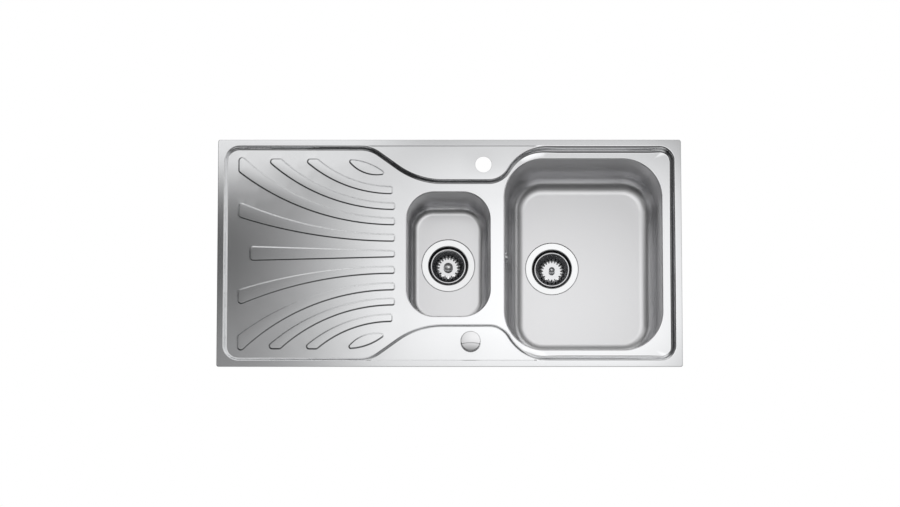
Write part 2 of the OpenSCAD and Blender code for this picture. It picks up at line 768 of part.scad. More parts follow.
module basket_knob(cap_r, top) color("silver") rotate_extrude($fn = small_fn) polygon([
    [0, cup_floor + screw_head_t], [stem_r, cup_floor + screw_head_t], [stem_r, basket_floor],
    [stem_r + 2, basket_floor], [stem_r + 2, top - knob_cap_t], [cap_r, top - knob_cap_t],
    [cap_r, top - 1.5], [cap_r - 1.5, top], [0, top]]);

module main_flange() at_main_drain() strainer_flange();
module main_upper_seal() at_main_drain() upper_seal();
module main_lower_seal() at_main_drain() lower_seal();
module main_center_screw() at_main_drain() center_screw(lift_pin_r + 0.1);
module main_basket() at_main_drain() basket();
module main_basket_seal() at_main_drain() basket_seal();
module main_basket_knob() at_main_drain() basket_knob(main_knob_r, basket_top - main_knob_drop);

module half_flange() at_half_drain() strainer_flange();
module half_upper_seal() at_half_drain() upper_seal();
module half_lower_seal() at_half_drain() lower_seal();
module half_waste_body() color("gray") at_half_drain() waste_body();
module half_center_screw() at_half_drain() center_screw(0);
module half_basket() at_half_drain() basket();
module half_basket_seal() at_half_drain() basket_seal();
module half_basket_knob() at_half_drain() basket_knob(half_knob_r, basket_top - half_knob_drop);

// The main waste body has a port for the lift lever at the front and an overflow inlet at the left
module main_waste_body() color("gray") at_main_drain() difference() {
    union() {
        waste_body();
        along_front(body_r + 1, lever_local_z)
            cylinder(h = port_end - body_r - 1, r = port_r, $fn = small_fn);
        along_front(body_r + 1, lever_local_z)
            cylinder(h = collar_end - body_r - 1, r = port_collar_r, $fn = small_fn);
        along_x(hose_end - main_drain_x, cup_floor - inlet_drop)
            cylinder(h = main_drain_x - hose_end - body_r - 1, r = hose_r, $fn = small_fn);
        along_x(hose_end - main_drain_x - spigot_len, cup_floor - inlet_drop)
            cylinder(h = spigot_len + 1, r = spigot_r, $fn = small_fn);
    }
    along_front(body_r - 4, lever_local_z)
        cylinder(h = port_end, r = ball_r + ball_gap, $fn = small_fn);
    along_x(hose_end - main_drain_x - spigot_len - 1, cup_floor - inlet_drop)
        cylinder(h = main_drain_x - hose_end - body_r + spigot_len + 5, r = spigot_bore, $fn = small_fn);
}

// Pop-up lift
module lift_pin() color("silver") at_main_drain()
    translate([0, 0, lever_local_z + lever_r + lift_gap])
        cylinder(h = cup_floor + screw_head_t - lever_local_z - lever_r - lift_gap,
            r = lift_pin_r, $fn = small_fn);

module lift_lever() color("silver") at_main_drain() {
    along_front(-lever_r, lever_local_z)
        cylinder(h = crank_y + lever_r, r = lever_r, $fn = small_fn);
    translate([0, -lever_reach, lever_local_z]) sphere(r = ball_r, $fn = small_fn);
    translate([0, -crank_y, lever_local_z]) {
        sphere(r = lever_r, $fn = small_fn);
        cylinder(h = crank_h, r = lever_r, $fn = small_fn);
        translate([-nipple_r - 1, 0, crank_h]) rotate([0, 90, 0])
            cylinder(h = 2 * nipple_r + 2, r = nipple_r, $fn = small_fn);
    }
}

module lever_nut() color("darkgray") at_main_drain() difference() {
    along_front(collar_end + anchor_t, lever_local_z)
        cylinder(h = port_end + nut_face - collar_end - anchor_t, r = port_r + nut_wall, $fn = small_fn);
    along_front(collar_end, lever_local_z)
        cylinder(h = port_end - collar_end, r = port_r + column_gap, $fn = small_fn);
    along_front(collar_end, lever_local_z)
        cylinder(h = crank_y, r = lever_r + 3, $fn = small_fn);
}

module cable_anchor() color("gainsboro") at_main_drain() translate([0, 0, lever_local_z]) difference() {
    union() {
        along_front(collar_end, 0) cylinder(h = anchor_t, r = anchor_side + anchor_t, $fn = small_fn);
        translate([anchor_side, -anchor_y - anchor_t, -port_r])
            cube([anchor_t, anchor_y + anchor_t - collar_end, crank_h + 2 * port_r]);
        translate([-2 * sheath_r, -anchor_y - anchor_t, crank_h - 2 * sheath_r])
            cube([anchor_side + 2 * sheath_r + 1, anchor_t, 2 * sheath_r + port_r]);
    }
    along_front(collar_end - 1, 0) cylinder(h = anchor_t + 2, r = port_r + column_gap, $fn = small_fn);
    along_front(anchor_y - 1, crank_h) cylinder(h = anchor_t + 2, r = sheath_r + column_gap, $fn = small_fn);
}

module cable_run(length) {
    cylinder(h = length, r = sheath_r, $fn = small_fn);
}

module cable_bend() {
    rotate_extrude(angle = 90, $fn = round_fn) translate([cable_bend_r, 0])
        circle(r = sheath_r, $fn = small_fn);
}

// From the control to the front of the main bowl, down past it and back under it to the lift lever
module cable_sheath() color("dimgray") {
    translate([knob_x + arm_to - sheath_lap, cable_y, cable_z]) rotate([0, 90, 0])
        cable_run(cable_down_x - cable_bend_r - knob_x - arm_to + sheath_lap);
    translate([cable_down_x - cable_bend_r, cable_y, cable_z - cable_bend_r])
        rotate([90, 0, 0]) cable_bend();
    translate([cable_down_x, cable_y, cable_low_z + cable_bend_r])
        cable_run(cable_z - cable_low_z - 2 * cable_bend_r);
    translate([cable_down_x + cable_bend_r, cable_y, cable_low_z + cable_bend_r])
        rotate([-90, 0, 0]) rotate([0, 0, 90]) cable_bend();
    translate([cable_down_x + cable_bend_r, cable_y, cable_low_z]) rotate([0, 90, 0])
        cable_run(main_drain_x - cable_down_x - 2 * cable_bend_r);
    translate([main_drain_x - cable_bend_r, cable_y + cable_bend_r, cable_low_z])
        rotate([0, 0, -90]) cable_bend();
    translate([main_drain_x, cable_y + cable_bend_r, cable_low_z]) rotate([-90, 0, 0])
        cable_run(-anchor_y - cable_y - cable_bend_r);
}

// Pop-up control on the front ledge
module at_knob() {
    translate([knob_x, -knob_y, 0]) children();
}

module control_knob() color("whitesmoke") at_knob() translate([0, 0, knob_foot]) difference() {
    rotate_extrude($fn = round_fn) polygon([
        [0, 0], [knob_r - 0.5, 0], [knob_r, 0.5], [knob_r, knob_h - 2.5],
        [knob_r - 2, knob_h - 0.6], [0, knob_h]]);
    translate([0, 0, -1]) cylinder(h = knob_socket + 1, r = spindle_r + spindle_gap, $fn = small_fn);
    translate([-knob_r - 1, -scoop_y, knob_h - scoop_depth + scoop_r]) rotate([0, 90, 0])
        cylinder(h = 2 * knob_r + 2, r = scoop_r, $fn = round_fn);
}

module knob_housing() color("silver") at_knob() difference() {
    union() {
        tube(housing_flange_r, spindle_r, ledge_z, ledge_z + housing_flange_t);
        tube(barrel_r, spindle_r, ledge_z - barrel_h, ledge_z + housing_flange_t);
    }
    translate([0, 0, -2 * barrel_h])
        cylinder(h = 4 * barrel_h, r = spindle_r + spindle_gap, $fn = small_fn);
}

module knob_washer() color("black") at_knob()
    tube(barrel_r + nut_lap, barrel_r + barrel_gap, ledge_bottom - washer_t, ledge_bottom);

module knob_nut() color("gray") at_knob()
    tube(barrel_r + nut_lap, barrel_r + column_gap, ledge_bottom - washer_t - nut_t,
        ledge_bottom - washer_t);

module knob_spindle() color("silver") at_knob() translate([0, 0, drum_top - drum_t - 2])
    cylinder(h = knob_foot + knob_socket - drum_top + drum_t + 2, r = spindle_r, $fn = small_fn);

module cable_drum() color("gray") at_knob() translate([0, 0, drum_top - drum_t])
    rotate_extrude($fn = small_fn) polygon([
        [spindle_r + spindle_gap, 0], [drum_r, 0], [drum_r, 2], [drum_r - 2, 3], [drum_r - 2, drum_t - 3],
        [drum_r, drum_t - 2], [drum_r, drum_t], [spindle_r + spindle_gap, drum_t]]);

// The cage under the control that holds the end of the cable's sheath
module knob_cage() color("gray") at_knob() difference() {
    union() {
        tube(barrel_r, spindle_r + 2, drum_top + 1, ledge_z - barrel_h);
        translate([0, cable_y + knob_y - arm_w / 2, drum_top + 1])
            cube([arm_to, arm_w, ledge_z - barrel_h - drum_top - 1]);
        translate([arm_from, cable_y + knob_y - arm_w / 2, cable_z - arm_w / 2])
            cube([arm_to - arm_from, arm_w, ledge_z - barrel_h - cable_z + arm_w / 2]);
    }
    translate([arm_to - sheath_lap, cable_y + knob_y, cable_z]) rotate([0, 90, 0])
        cylinder(h = arm_to, r = sheath_r + column_gap, $fn = small_fn);
    translate([0, cable_y + knob_y, cable_z]) rotate([0, 90, 0])
        cylinder(h = arm_to, r = 1, $fn = small_fn);
    translate([0, 0, drum_top]) cylinder(h = drum_t, r = spindle_r + 1, $fn = small_fn);
}

// Overflow
module overflow_rosette() color("silver") at_overflow() difference() {
    cylinder(h = rosette_t, r = rosette_r, $fn = round_fn);
    for (i = [0:5]) rotate([0, 0, 60 * i]) translate([overflow_r * 0.7, 0, -1])
        cylinder(h = 2 * rosette_t + 1, r = overflow_r * 0.25, $fn = small_fn);
    translate([0, 0, -1]) cylinder(h = 2 * rosette_t + 1, r = overflow_screw_r + column_gap, $fn = small_fn);
}

module overflow_screw() color("silver") at_overflow() {
    translate([0, 0, rosette_t]) cylinder(h = 2, r = 2 * overflow_screw_r, $fn = small_fn);
    translate([0, 0, elbow_back + elbow_wall])
        cylinder(h = rosette_t - elbow_back - elbow_wall, r = overflow_screw_r, $fn = small_fn);
}

module overflow_seal() color("black") at_overflow()
    tube(elbow_r, overflow_r, -sheet_t - overflow_seal_t, -sheet_t);

module overflow_elbow() color("gray") difference() {
    union() {
        at_overflow() translate([0, 0, elbow_back]) cylinder(h = elbow_depth, r = elbow_r, $fn = round_fn);
        translate([hose_x, 0, hose_top]) cylinder(h = overflow_z - hose_top, r = neck_r, $fn = small_fn);
        translate([hose_x, 0, hose_top]) cylinder(h = elbow_wall, r = hose_r, $fn = small_fn);
        translate([hose_x, 0, hose_top - spigot_len])
            cylinder(h = spigot_len + 1, r = spigot_r, $fn = small_fn);
    }
    at_overflow() difference() {
        translate([0, 0, elbow_back + elbow_wall]) cylinder(h = elbow_depth, r = overflow_r, $fn = round_fn);
        translate([0, 0, elbow_back]) cylinder(h = elbow_depth - 4, r = boss_r, $fn = small_fn);
    }
    at_overflow() translate([0, 0, elbow_back + elbow_wall])
        cylinder(h = elbow_depth, r = overflow_screw_r + column_gap, $fn = small_fn);
    translate([hose_x, 0, hose_top - spigot_len - 1])
        cylinder(h = overflow_z - hose_top + spigot_len - boss_r - 1, r = spigot_bore, $fn = small_fn);
}

// The hose drops straight, turns through a quarter circle and runs straight to the waste
hose_drop = hose_top - hose_z - hose_bend_r;
hose_flat = hose_end - hose_x - hose_bend_r;
hose_turn = hose_bend_r * PI / 2;
hose_len = hose_drop + hose_turn + hose_flat;
hose_ribs = floor((hose_len - 4 * hose_r) / hose_pitch);
hose_start = (hose_len - hose_ribs * hose_pitch) / 2;
function hose_angle(s) = 90 * min(1, max(0, (s - hose_drop) / hose_turn));
function hose_point(s) = let (a = hose_angle(s))
    [hose_x + hose_bend_r * (1 - cos(a)) + max(0, s - hose_drop - hose_turn),
     hose_top - min(s, hose_drop) - hose_bend_r * sin(a)];
function hose_ring(s, r) = let (a = hose_angle(s), p = hose_point(s))
    [for (k = [0:hose_sides - 1]) let (t = 360 * k / hose_sides)
        [p.x + r * cos(t) * cos(a), r * sin(t), p.y + r * cos(t) * sin(a)]];
hose_outer = concat(
    [[0, hose_r]],
    [for (i = [0:hose_ribs - 1], half = [0, 1])
        [hose_start + (i + 0.25 + half / 2) * hose_pitch, half == 0 ? hose_r : hose_r - hose_rib]],
    [[hose_len, hose_r]]);
hose_bore_steps = 14;
hose_inner = [for (i = [0:hose_bore_steps]) [hose_len * i / hose_bore_steps, hose_bore_r]];

module overflow_hose() color("dimgray") {
    rings = concat(hose_outer, reversed(hose_inner));
    n = len(rings);
    points = [for (ring = rings) each hose_ring(ring[0], ring[1])];
    faces = [for (i = [0:n - 1], k = [0:hose_sides - 1])
        let (a = i * hose_sides + k, b = i * hose_sides + (k + 1) % hose_sides,
             c = ((i + 1) % n) * hose_sides + (k + 1) % hose_sides, d = ((i + 1) % n) * hose_sides + k)
        each [[a, d, c], [a, c, b]]];
    polyhedron(points, faces);
}

module hose_clips() color("silver") {
    translate([hose_x, 0, 0]) tube(hose_r + hose_clip_t, hose_r + hose_clip_gap,
        hose_top - 3 - hose_clip_w, hose_top - 3, small_fn);
    along_x(hose_end - 3 - hose_clip_w, hose_z)
        tube(hose_r + hose_clip_t, hose_r + hose_clip_gap, 0, hose_clip_w, small_fn);
}

// Under the bowls and the back ledge
module main_sound_pad() color("darkslategray")
    translate([main_x + main_pad_shift, 0, main_floor_z - sheet_t - pad_t]) linear_extrude(height = pad_t)
        polygon(rounded_points(main_pad.x, main_pad.y, pad_round, 4));

module half_sound_pads() color("darkslategray")
    for (side = [-1, 1])
        translate([half_x, side * (half_pad_from + half_pad_to) / 2, half_floor_z - sheet_t - pad_t])
            linear_extrude(height = pad_t)
                polygon(rounded_points(half_pad_w, half_pad_to - half_pad_from, pad_round, 4));

module earth_tag() color("gainsboro") translate([tag_x, tag_y, ledge_bottom]) difference() {
    union() {
        translate([-tag_w / 2, 0, -sheet_t]) cube([tag_w, tag_w, sheet_t]);
        translate([-tag_w / 2, 0, -tag_h]) cube([tag_w, sheet_t, tag_h]);
    }
    translate([0, -1, -tag_drop]) rotate([-90, 0, 0])
        cylinder(h = sheet_t + 2, r = tag_hole_r, $fn = small_fn);
}

deck();
main_bowl();
half_bowl();
rim_gasket();
clip_rails();
clip_brackets();
clip_screws();
clip_jaw(1);  // clip_jaw_1
clip_jaw(2);  // clip_jaw_2
clip_jaw(3);  // clip_jaw_3
clip_jaw(4);  // clip_jaw_4
clip_jaw(5);  // clip_jaw_5
clip_jaw(6);  // clip_jaw_6
clip_jaw(7);  // clip_jaw_7
clip_jaw(8);  // clip_jaw_8
main_flange();
main_upper_seal();
main_lower_seal();
main_waste_body();
main_center_screw();
main_basket();
main_basket_seal();
main_basket_knob();
half_flange();
half_upper_seal();
half_lower_seal();
half_waste_body();
half_center_screw();
half_basket();
half_basket_seal();
half_basket_knob();
lift_pin();
lift_lever();
lever_nut();
cable_anchor();
cable_sheath();
control_knob();
knob_housing();
knob_washer();
knob_nut();
knob_spindle();
cable_drum();
knob_cage();
overflow_rosette();
overflow_screw();
overflow_seal();
overflow_elbow();
overflow_hose();
hose_clips();
main_sound_pad();
half_sound_pads();
earth_tag();
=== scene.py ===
import math

import bpy
import numpy as np
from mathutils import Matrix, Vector
from mathutils.geometry import delaunay_2d_cdt


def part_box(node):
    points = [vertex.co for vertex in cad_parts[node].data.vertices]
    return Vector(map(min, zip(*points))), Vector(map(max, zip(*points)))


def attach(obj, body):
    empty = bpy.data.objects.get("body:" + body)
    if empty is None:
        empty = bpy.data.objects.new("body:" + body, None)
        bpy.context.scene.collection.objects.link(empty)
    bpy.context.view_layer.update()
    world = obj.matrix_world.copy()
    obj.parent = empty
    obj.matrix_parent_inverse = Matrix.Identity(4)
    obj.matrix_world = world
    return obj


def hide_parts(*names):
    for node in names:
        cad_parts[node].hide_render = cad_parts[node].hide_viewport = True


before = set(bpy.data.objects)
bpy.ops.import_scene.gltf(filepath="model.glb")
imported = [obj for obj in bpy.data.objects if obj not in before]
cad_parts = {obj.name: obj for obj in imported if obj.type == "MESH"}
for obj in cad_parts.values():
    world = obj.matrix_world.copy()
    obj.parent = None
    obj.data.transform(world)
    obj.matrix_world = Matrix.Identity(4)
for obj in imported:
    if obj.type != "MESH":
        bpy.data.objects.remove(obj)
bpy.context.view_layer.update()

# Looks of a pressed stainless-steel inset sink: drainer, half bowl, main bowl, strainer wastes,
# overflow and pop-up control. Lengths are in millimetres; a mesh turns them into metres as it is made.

MM = 0.001


def box(node):
    """Lowest and highest corner of a CAD node, in millimetres."""
    low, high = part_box(node)
    return np.array(low) / MM, np.array(high) / MM


def middle(node):
    low, high = box(node)
    return (low + high) / 2


# ---- Sizes: the frame gives places and overall sizes, the rest are the part's own radii and drops

deck_low, deck_high = box("deck")
SINK_W, SINK_D = (deck_high - deck_low)[:2]
RIM_TOP = deck_high[2]
SHEET = 1.0
RIM_W = 13.0
RIM_CORNER_R = 5.0
EDGE_ROUND = 2.2
EDGE_LAP = EDGE_ROUND + 0.4
EDGE_Z = 0.3
RECESS_X, RECESS_Y = SINK_W / 2 - RIM_W, SINK_D / 2 - RIM_W

main_low, main_high = box("main_bowl")
half_low, half_high = box("half_bowl")
MAIN_LEFT = main_low[0]
DECK_Z = main_high[2]
DRAINER_Z = RIM_TOP - 8.0
LEDGE_Z = RIM_TOP - 1.0
SEAT_DROP, SEAT_R, DRAIN_R, SEAT_EDGE = 3.0, 58.0, 45.0, 1.2
CUP_R, CUP_HOLE_R, VENT_RING, VENT_R, CUP_PLATE_R = 42.5, 4.3, 17.5, 5.5, 30.0
BASKET_H, BASKET_R, STEM_R, STEM_GAP = 18.0, 38.0, 3.0, 0.05

CORNER_R = 34.0
LEDGE_DEPTH, LEDGE_LEFT_GAP, LEDGE_RIGHT_GAP = 74.0, 131.0, 96.0
LEDGE_SWEEP, LEDGE_LEFT_R, LEDGE_TIP_R = 36.0, 160.0, 70.0
LEDGE_FILLET_R, LEDGE_RIGHT_R = 45.0, 102.0
LEDGE_Y = RECESS_Y - LEDGE_DEPTH
LEDGE_LEFT_X, LEDGE_RIGHT_X = MAIN_LEFT - LEDGE_LEFT_GAP, MAIN_LEFT + LEDGE_RIGHT_GAP
CREASE_W = 2.4
CREASE_IN, CREASE_OUT = (4, 24), (32, 8)

STEP_DRAINER, STEP_BACK, STEP_RIGHT = 9.0, 15.0, 13.0
STEP_BACK_X, STEP_RIGHT_X = (150, 230), (430, 470)
SLOPE_END_X = half_low[0] - 17.0

RIB_RISE, RIB_END_R, RIB_EDGE, RIB_CORNER = 2.0, 4.0, 3.6, 3.5
RIB_FOOT = RIB_END_R + RIB_EDGE / 2
RIB_RIGHT_X = half_low[0] - 24.0
RIB_CUT_X, RIB_CUT_Y = 32 - RECESS_X, RECESS_Y - 28

LIP_R, LIP_POINTS = 3.0, 9
MAIN_CORNER_R, MAIN_DRAFT, MAIN_FILLET = 87.0, 3.7, 37.0
HALF_CORNER_R, HALF_DRAFT, HALF_FILLET = 62.0, 2.5, 21.0
OVERFLOW_DROP, OVERFLOW_R, OVERFLOW_WINDOW = 40.0, 12.0, 20.0
HOLE_R, HOLE_LIP = 17.5, 1.0
TAP = (MAIN_LEFT - 43.0, RECESS_Y - 42.0)
KNOB = tuple(middle("knob_spindle")[:2])


# ---- Plan geometry

def unit(v):
    return v / np.linalg.norm(v)


def arc(centre, radius, start, stop, step=3.0):
    """Points on an arc in plan; angles in degrees."""
    count = int(math.ceil(abs(stop - start) / step)) + 1
    a = np.radians(np.linspace(start, stop, count))
    return np.stack([centre[0] + radius * np.cos(a), centre[1] + radius * np.sin(a)], 1)


def circle(centre, radius, step=3):
    """Points round a whole circle in plan, each place once."""
    return arc(centre, radius, 0, 360 - step, step)


def spread(loop, longest):
    """A closed loop without doubled points, with its long straights divided."""
    out = []
    for a, b in zip(loop, np.roll(loop, -1, 0)):
        length = np.linalg.norm(b - a)
        if length < 1e-4:
            continue
        parts = max(1, int(math.ceil(length / longest)))
        out.extend(a + (b - a) * k / parts for k in range(parts))
    return np.array(out)


def left_normals(loop):
    t = np.roll(loop, -1, 0) - np.roll(loop, 1, 0)
    t /= np.linalg.norm(t, axis=1)[:, None]
    return np.stack([-t[:, 1], t[:, 0]], 1)


def recess_outline():
    """The recess's top edge, clockwise from its left side."""
    rise = 1 - math.cos(math.radians(LEDGE_SWEEP))
    sweep_sin, sweep_cos = math.sin(math.radians(LEDGE_SWEEP)), math.cos(math.radians(LEDGE_SWEEP))
    ramp = (LEDGE_DEPTH - (LEDGE_LEFT_R + LEDGE_TIP_R) * rise) / sweep_sin
    tip_x = LEDGE_LEFT_X - (LEDGE_LEFT_R + LEDGE_TIP_R) * sweep_sin - ramp * sweep_cos
    fillet_y, right_y = LEDGE_Y + LEDGE_FILLET_R, RECESS_Y - LEDGE_RIGHT_R
    fillet_x = LEDGE_RIGHT_X - math.sqrt((LEDGE_RIGHT_R + LEDGE_FILLET_R) ** 2 - (fillet_y - right_y) ** 2)
    blend = math.degrees(math.atan2(fillet_y - right_y, LEDGE_RIGHT_X - fillet_x))
    back = np.vstack([
        arc((CORNER_R - RECESS_X, RECESS_Y - CORNER_R), CORNER_R, 180, 90),
        arc((tip_x, RECESS_Y - LEDGE_TIP_R), LEDGE_TIP_R, 90, 90 - LEDGE_SWEEP),
        arc((LEDGE_LEFT_X, LEDGE_Y + LEDGE_LEFT_R), LEDGE_LEFT_R, 270 - LEDGE_SWEEP, 270, 2),
        arc((fillet_x, fillet_y), LEDGE_FILLET_R, 270, 360 - blend),
        arc((LEDGE_RIGHT_X, right_y), LEDGE_RIGHT_R, 180 - blend, 90, 2),
        arc((RECESS_X - CORNER_R, RECESS_Y - CORNER_R), CORNER_R, 90, 0)])
    return np.vstack([back, back[::-1] * [1, -1]]), tip_x


def signed_distance(x, y, loop):
    """Distance to a closed loop, above 0 inside it."""
    a, b = loop, np.roll(loop, -1, 0)
    ab = b - a
    length2 = (ab ** 2).sum(1)
    out = np.empty(len(x))
    for i in range(0, len(x), 2000):
        px, py = x[i:i + 2000, None], y[i:i + 2000, None]
        t = np.clip(((px - a[:, 0]) * ab[:, 0] + (py - a[:, 1]) * ab[:, 1]) / length2, 0, 1)
        d2 = (a[:, 0] + t * ab[:, 0] - px) ** 2 + (a[:, 1] + t * ab[:, 1] - py) ** 2
        crosses = (a[:, 1] > py) != (b[:, 1] > py)
        at = a[:, 0] + (py - a[:, 1]) / np.where(ab[:, 1] == 0, 1e-9, ab[:, 1]) * ab[:, 0]
        inside = (crosses & (px < at)).sum(1) % 2 == 1
        d = np.sqrt(d2.min(1))
        out[i:i + 2000] = np.where(inside, d, -d)
    return out


def rounded_distance(x, y, centre, w, l, r):
    """Distance to a rounded rectangle, above 0 outside it."""
    qx, qy = np.abs(x - centre[0]) - (w / 2 - r), np.abs(y - centre[1]) - (l / 2 - r)
    return np.hypot(np.maximum(qx, 0), np.maximum(qy, 0)) + np.minimum(np.maximum(qx, qy), 0) - r


def ring(w, l, r, centre=(0, 0), stops=(), corner_steps=24):
    """Points round a rounded rectangle, anticlockwise from the right side's foot, and which way is out.
    stops are extra places along the left and right sides."""
    sides = np.array(sorted({-l / 2 + r, -l / 6 + r / 3, *stops, l / 6 - r / 3, l / 2 - r}))
    ends = np.linspace(r - w / 2, w / 2 - r, 5)
    a = np.radians(np.linspace(0, 90, corner_steps + 1)[1:-1])
    corner_out = np.stack([np.cos(a), np.sin(a)], 1)
    quarter = np.array([[0, -1], [1, 0]])
    points, out = [], []
    for q in range(4):
        along, half = (sides, w / 2) if q % 2 == 0 else (ends, l / 2)
        m = np.linalg.matrix_power(quarter, q)
        line = np.stack([np.full(len(along), half), along], 1)
        corner = np.stack([half - r + r * np.cos(a), along[-1] + r * np.sin(a)], 1)
        points.append(np.vstack([line, corner]) @ m.T)
        out.append(np.vstack([np.tile([1.0, 0.0], (len(along), 1)), corner_out]) @ m.T)
    return np.vstack(points) + centre, np.vstack(out)


def grown(core, by):
    """The outline at a distance round a clockwise core, round where the core turns sharply (radians)."""
    sharp = 0.3
    out = []
    for i in range(len(core)):
        u, v = unit(core[i] - core[i - 1]), unit(core[(i + 1) % len(core)] - core[i])
        turn = math.atan2(u[0] * v[1] - u[1] * v[0], u @ v)
        left = np.array([-u[1], u[0]])
        steps = max(1, int(abs(turn) / sharp)) if abs(turn) > sharp else 0
        turns = np.linspace(0, turn, steps + 1) if steps else [turn / 2]
        reach = by if steps else by / math.cos(turn / 2)
        out.extend(core[i] + reach * np.array([left[0] * math.cos(t) - left[1] * math.sin(t),
                                               left[0] * math.sin(t) + left[1] * math.cos(t)]) for t in turns)
    return np.array(out)


def path(points, radius=0.3, steps=4, closed=True):
    """Rounds the corners of a path of [x, y] or [x, y, radius].
    Returns its points and the normals to its right."""
    spots = [np.array(p[:2], float) for p in points]
    out, normals = [], []
    count = len(spots)
    for i in range(count):
        b = spots[i]
        if not closed and i in (0, count - 1):
            d = unit(spots[1] - spots[0] if i == 0 else spots[-1] - spots[-2])
            out.append(b)
            normals.append((d[1], -d[0]))
            continue
        a, c = spots[i - 1], spots[(i + 1) % count]
        u, v = unit(b - a), unit(c - b)
        turn = math.atan2(u[0] * v[1] - u[1] * v[0], u @ v)
        r = points[i][2] if len(points[i]) > 2 else radius
        half = math.tan(abs(turn) / 2)
        t = min(r * half, 0.49 * np.linalg.norm(b - a), 0.49 * np.linalg.norm(c - b))
        side = 1 if turn > 0 else -1
        centre = b - u * t + side * t / max(half, 1e-9) * np.array([-u[1], u[0]])
        for k in range(steps + 1):
            s = turn * k / steps
            n = np.array([u[1] * math.cos(s) + u[0] * math.sin(s), u[1] * math.sin(s) - u[0] * math.cos(s)])
            out.append(centre + side * t / max(half, 1e-9) * n if t > 1e-5 else b)
            normals.append(n)
    if closed:
        out.append(out[0])
        normals.append(normals[0])
    return np.array(out), np.array(normals)


# ---- Ribs: each is the outline RIB_END_R round a core

def curved_rib(right_x, low, high, cut_x, cut_y):
    """Core of a rib between two arcs about middles right above its right end. low and high give
    the y of each arc at that end and its radius. The rib stops at cut_x or at cut_y."""
    def edge(y, radius, grow):
        r, centre_y = radius + grow, y + radius
        first = math.asin(RIB_END_R / r)
        last = min(math.asin(min(1, (right_x - cut_x - RIB_END_R) / r)),
                   math.acos(max(-1, (centre_y - cut_y + RIB_END_R) / r)))
        a = np.linspace(first, last, 26)
        return np.stack([right_x - r * np.sin(a), centre_y - r * np.cos(a)], 1)
    return np.vstack([edge(*low, -RIB_END_R), edge(*high, RIB_END_R)[::-1]])


def leaf_rib(p, q, low_bulge, high_bulge):
    """Core of a rib between two arcs from p to q."""
    p, q = np.array(p), np.array(q)
    half, u = np.linalg.norm(q - p) / 2, unit(q - p)
    n = np.array([u[1], -u[0]])
    radii = [(half ** 2 + b ** 2) / (2 * b) - RIB_END_R for b in (low_bulge, high_bulge)]
    low_t, high_t = low_bulge - radii[0] - RIB_END_R, radii[1] + RIB_END_R - high_bulge
    t = (radii[0] ** 2 - radii[1] ** 2 - low_t ** 2 + high_t ** 2) / (2 * (high_t - low_t))
    s = math.sqrt(radii[0] ** 2 - (t - low_t) ** 2)

    def side(centre_t, radius, sign):
        last = math.asin(s / radius)
        a = np.linspace(last, -last, 14) * sign
        across = centre_t + sign * radius * np.cos(a)
        return (p + q) / 2 + np.outer(radius * np.sin(a), u) + np.outer(across, n)

    return np.vstack([side(low_t, radii[0], 1), side(high_t, radii[1], -1)])


def eased_corners(core):
    """The core with its sharp corners at the left end rounded."""
    end_reach, sharp_cosine = 25, 0.95
    turns = [abs(unit(b - a) @ unit(c - b))
             for a, b, c in zip(np.roll(core, 1, 0), core, np.roll(core, -1, 0))]
    left = core[:, 0].min() + end_reach
    radii = [RIB_CORNER if turn < sharp_cosine and p[0] < left else 0 for p, turn in zip(core, turns)]
    line = path([(*p, radius) for p, radius in zip(core, radii)])[0]
    return line[1:][np.linalg.norm(np.diff(line, axis=0), axis=1) > 1e-6]


def rib_cores():
    """The cores of the back ribs, which the front ones mirror, and of the straight one between them."""
    far = SINK_W
    cores = [
        curved_rib(RIB_RIGHT_X, (28, 1095), (42.9, 829), RIB_CUT_X, far),
        curved_rib(RIB_RIGHT_X, (64.2, 542), (79.1, 467), RIB_CUT_X, far),
        curved_rib(RIB_RIGHT_X, (97.9, 402), (112.3, 358), -far, RIB_CUT_Y),
        curved_rib(RIB_RIGHT_X - 5, (132.8, 279), (148.5, 244.5), -far, RIB_CUT_Y),
        leaf_rib((RIB_RIGHT_X - 101, RECESS_Y - 29), (RIB_RIGHT_X - 19, RECESS_Y - 60), 14, 8)]
    right, left, narrow, wide = RIB_RIGHT_X - RIB_END_R, 57 - RECESS_X + RIB_END_R, 2.62, 11.18
    straight = np.array([[right, narrow], [right, -narrow], [left, -wide], [left, wide]])
    return [eased_corners(core) for core in cores], eased_corners(straight)


# ---- Heights of the deck

def eased(u, soft=0.35):
    """0 to 1 with a straight middle and rounded ends."""
    u = np.clip(u, 0, 1)
    total = 1 - soft
    rise = np.where(u < soft, u * u / (2 * soft), np.where(
        u > 1 - soft, total - (1 - u) ** 2 / (2 * soft), u - soft / 2))
    return rise / total


def smooth(a, b, x):
    u = np.clip((x - a) / (b - a), 0, 1)
    return u * u * (3 - 2 * u)


def step_width(x):
    return STEP_DRAINER + (STEP_BACK - STEP_DRAINER) * smooth(*STEP_BACK_X, x) \
        + (STEP_RIGHT - STEP_BACK) * smooth(*STEP_RIGHT_X, x)


def floor_height(x):
    """The recess's floor: level under the bowls, rising to the drainer's left end."""
    past, soft = SLOPE_END_X - x, 20
    past = np.where(np.abs(past) < soft, (past + soft) ** 2 / (4 * soft), np.maximum(past, 0))
    return DECK_Z + (DRAINER_Z - DECK_Z) * past / (SLOPE_END_X + RECESS_X)


outline, TIP_X = recess_outline()
outline = spread(outline, 24)
cores, straight_core = rib_cores()


def rib_distances(x, y):
    """How far points lie outside each rib's core."""
    for core in cores:
        yield -signed_distance(x, np.abs(y), core)
    yield -signed_distance(x, y, straight_core)


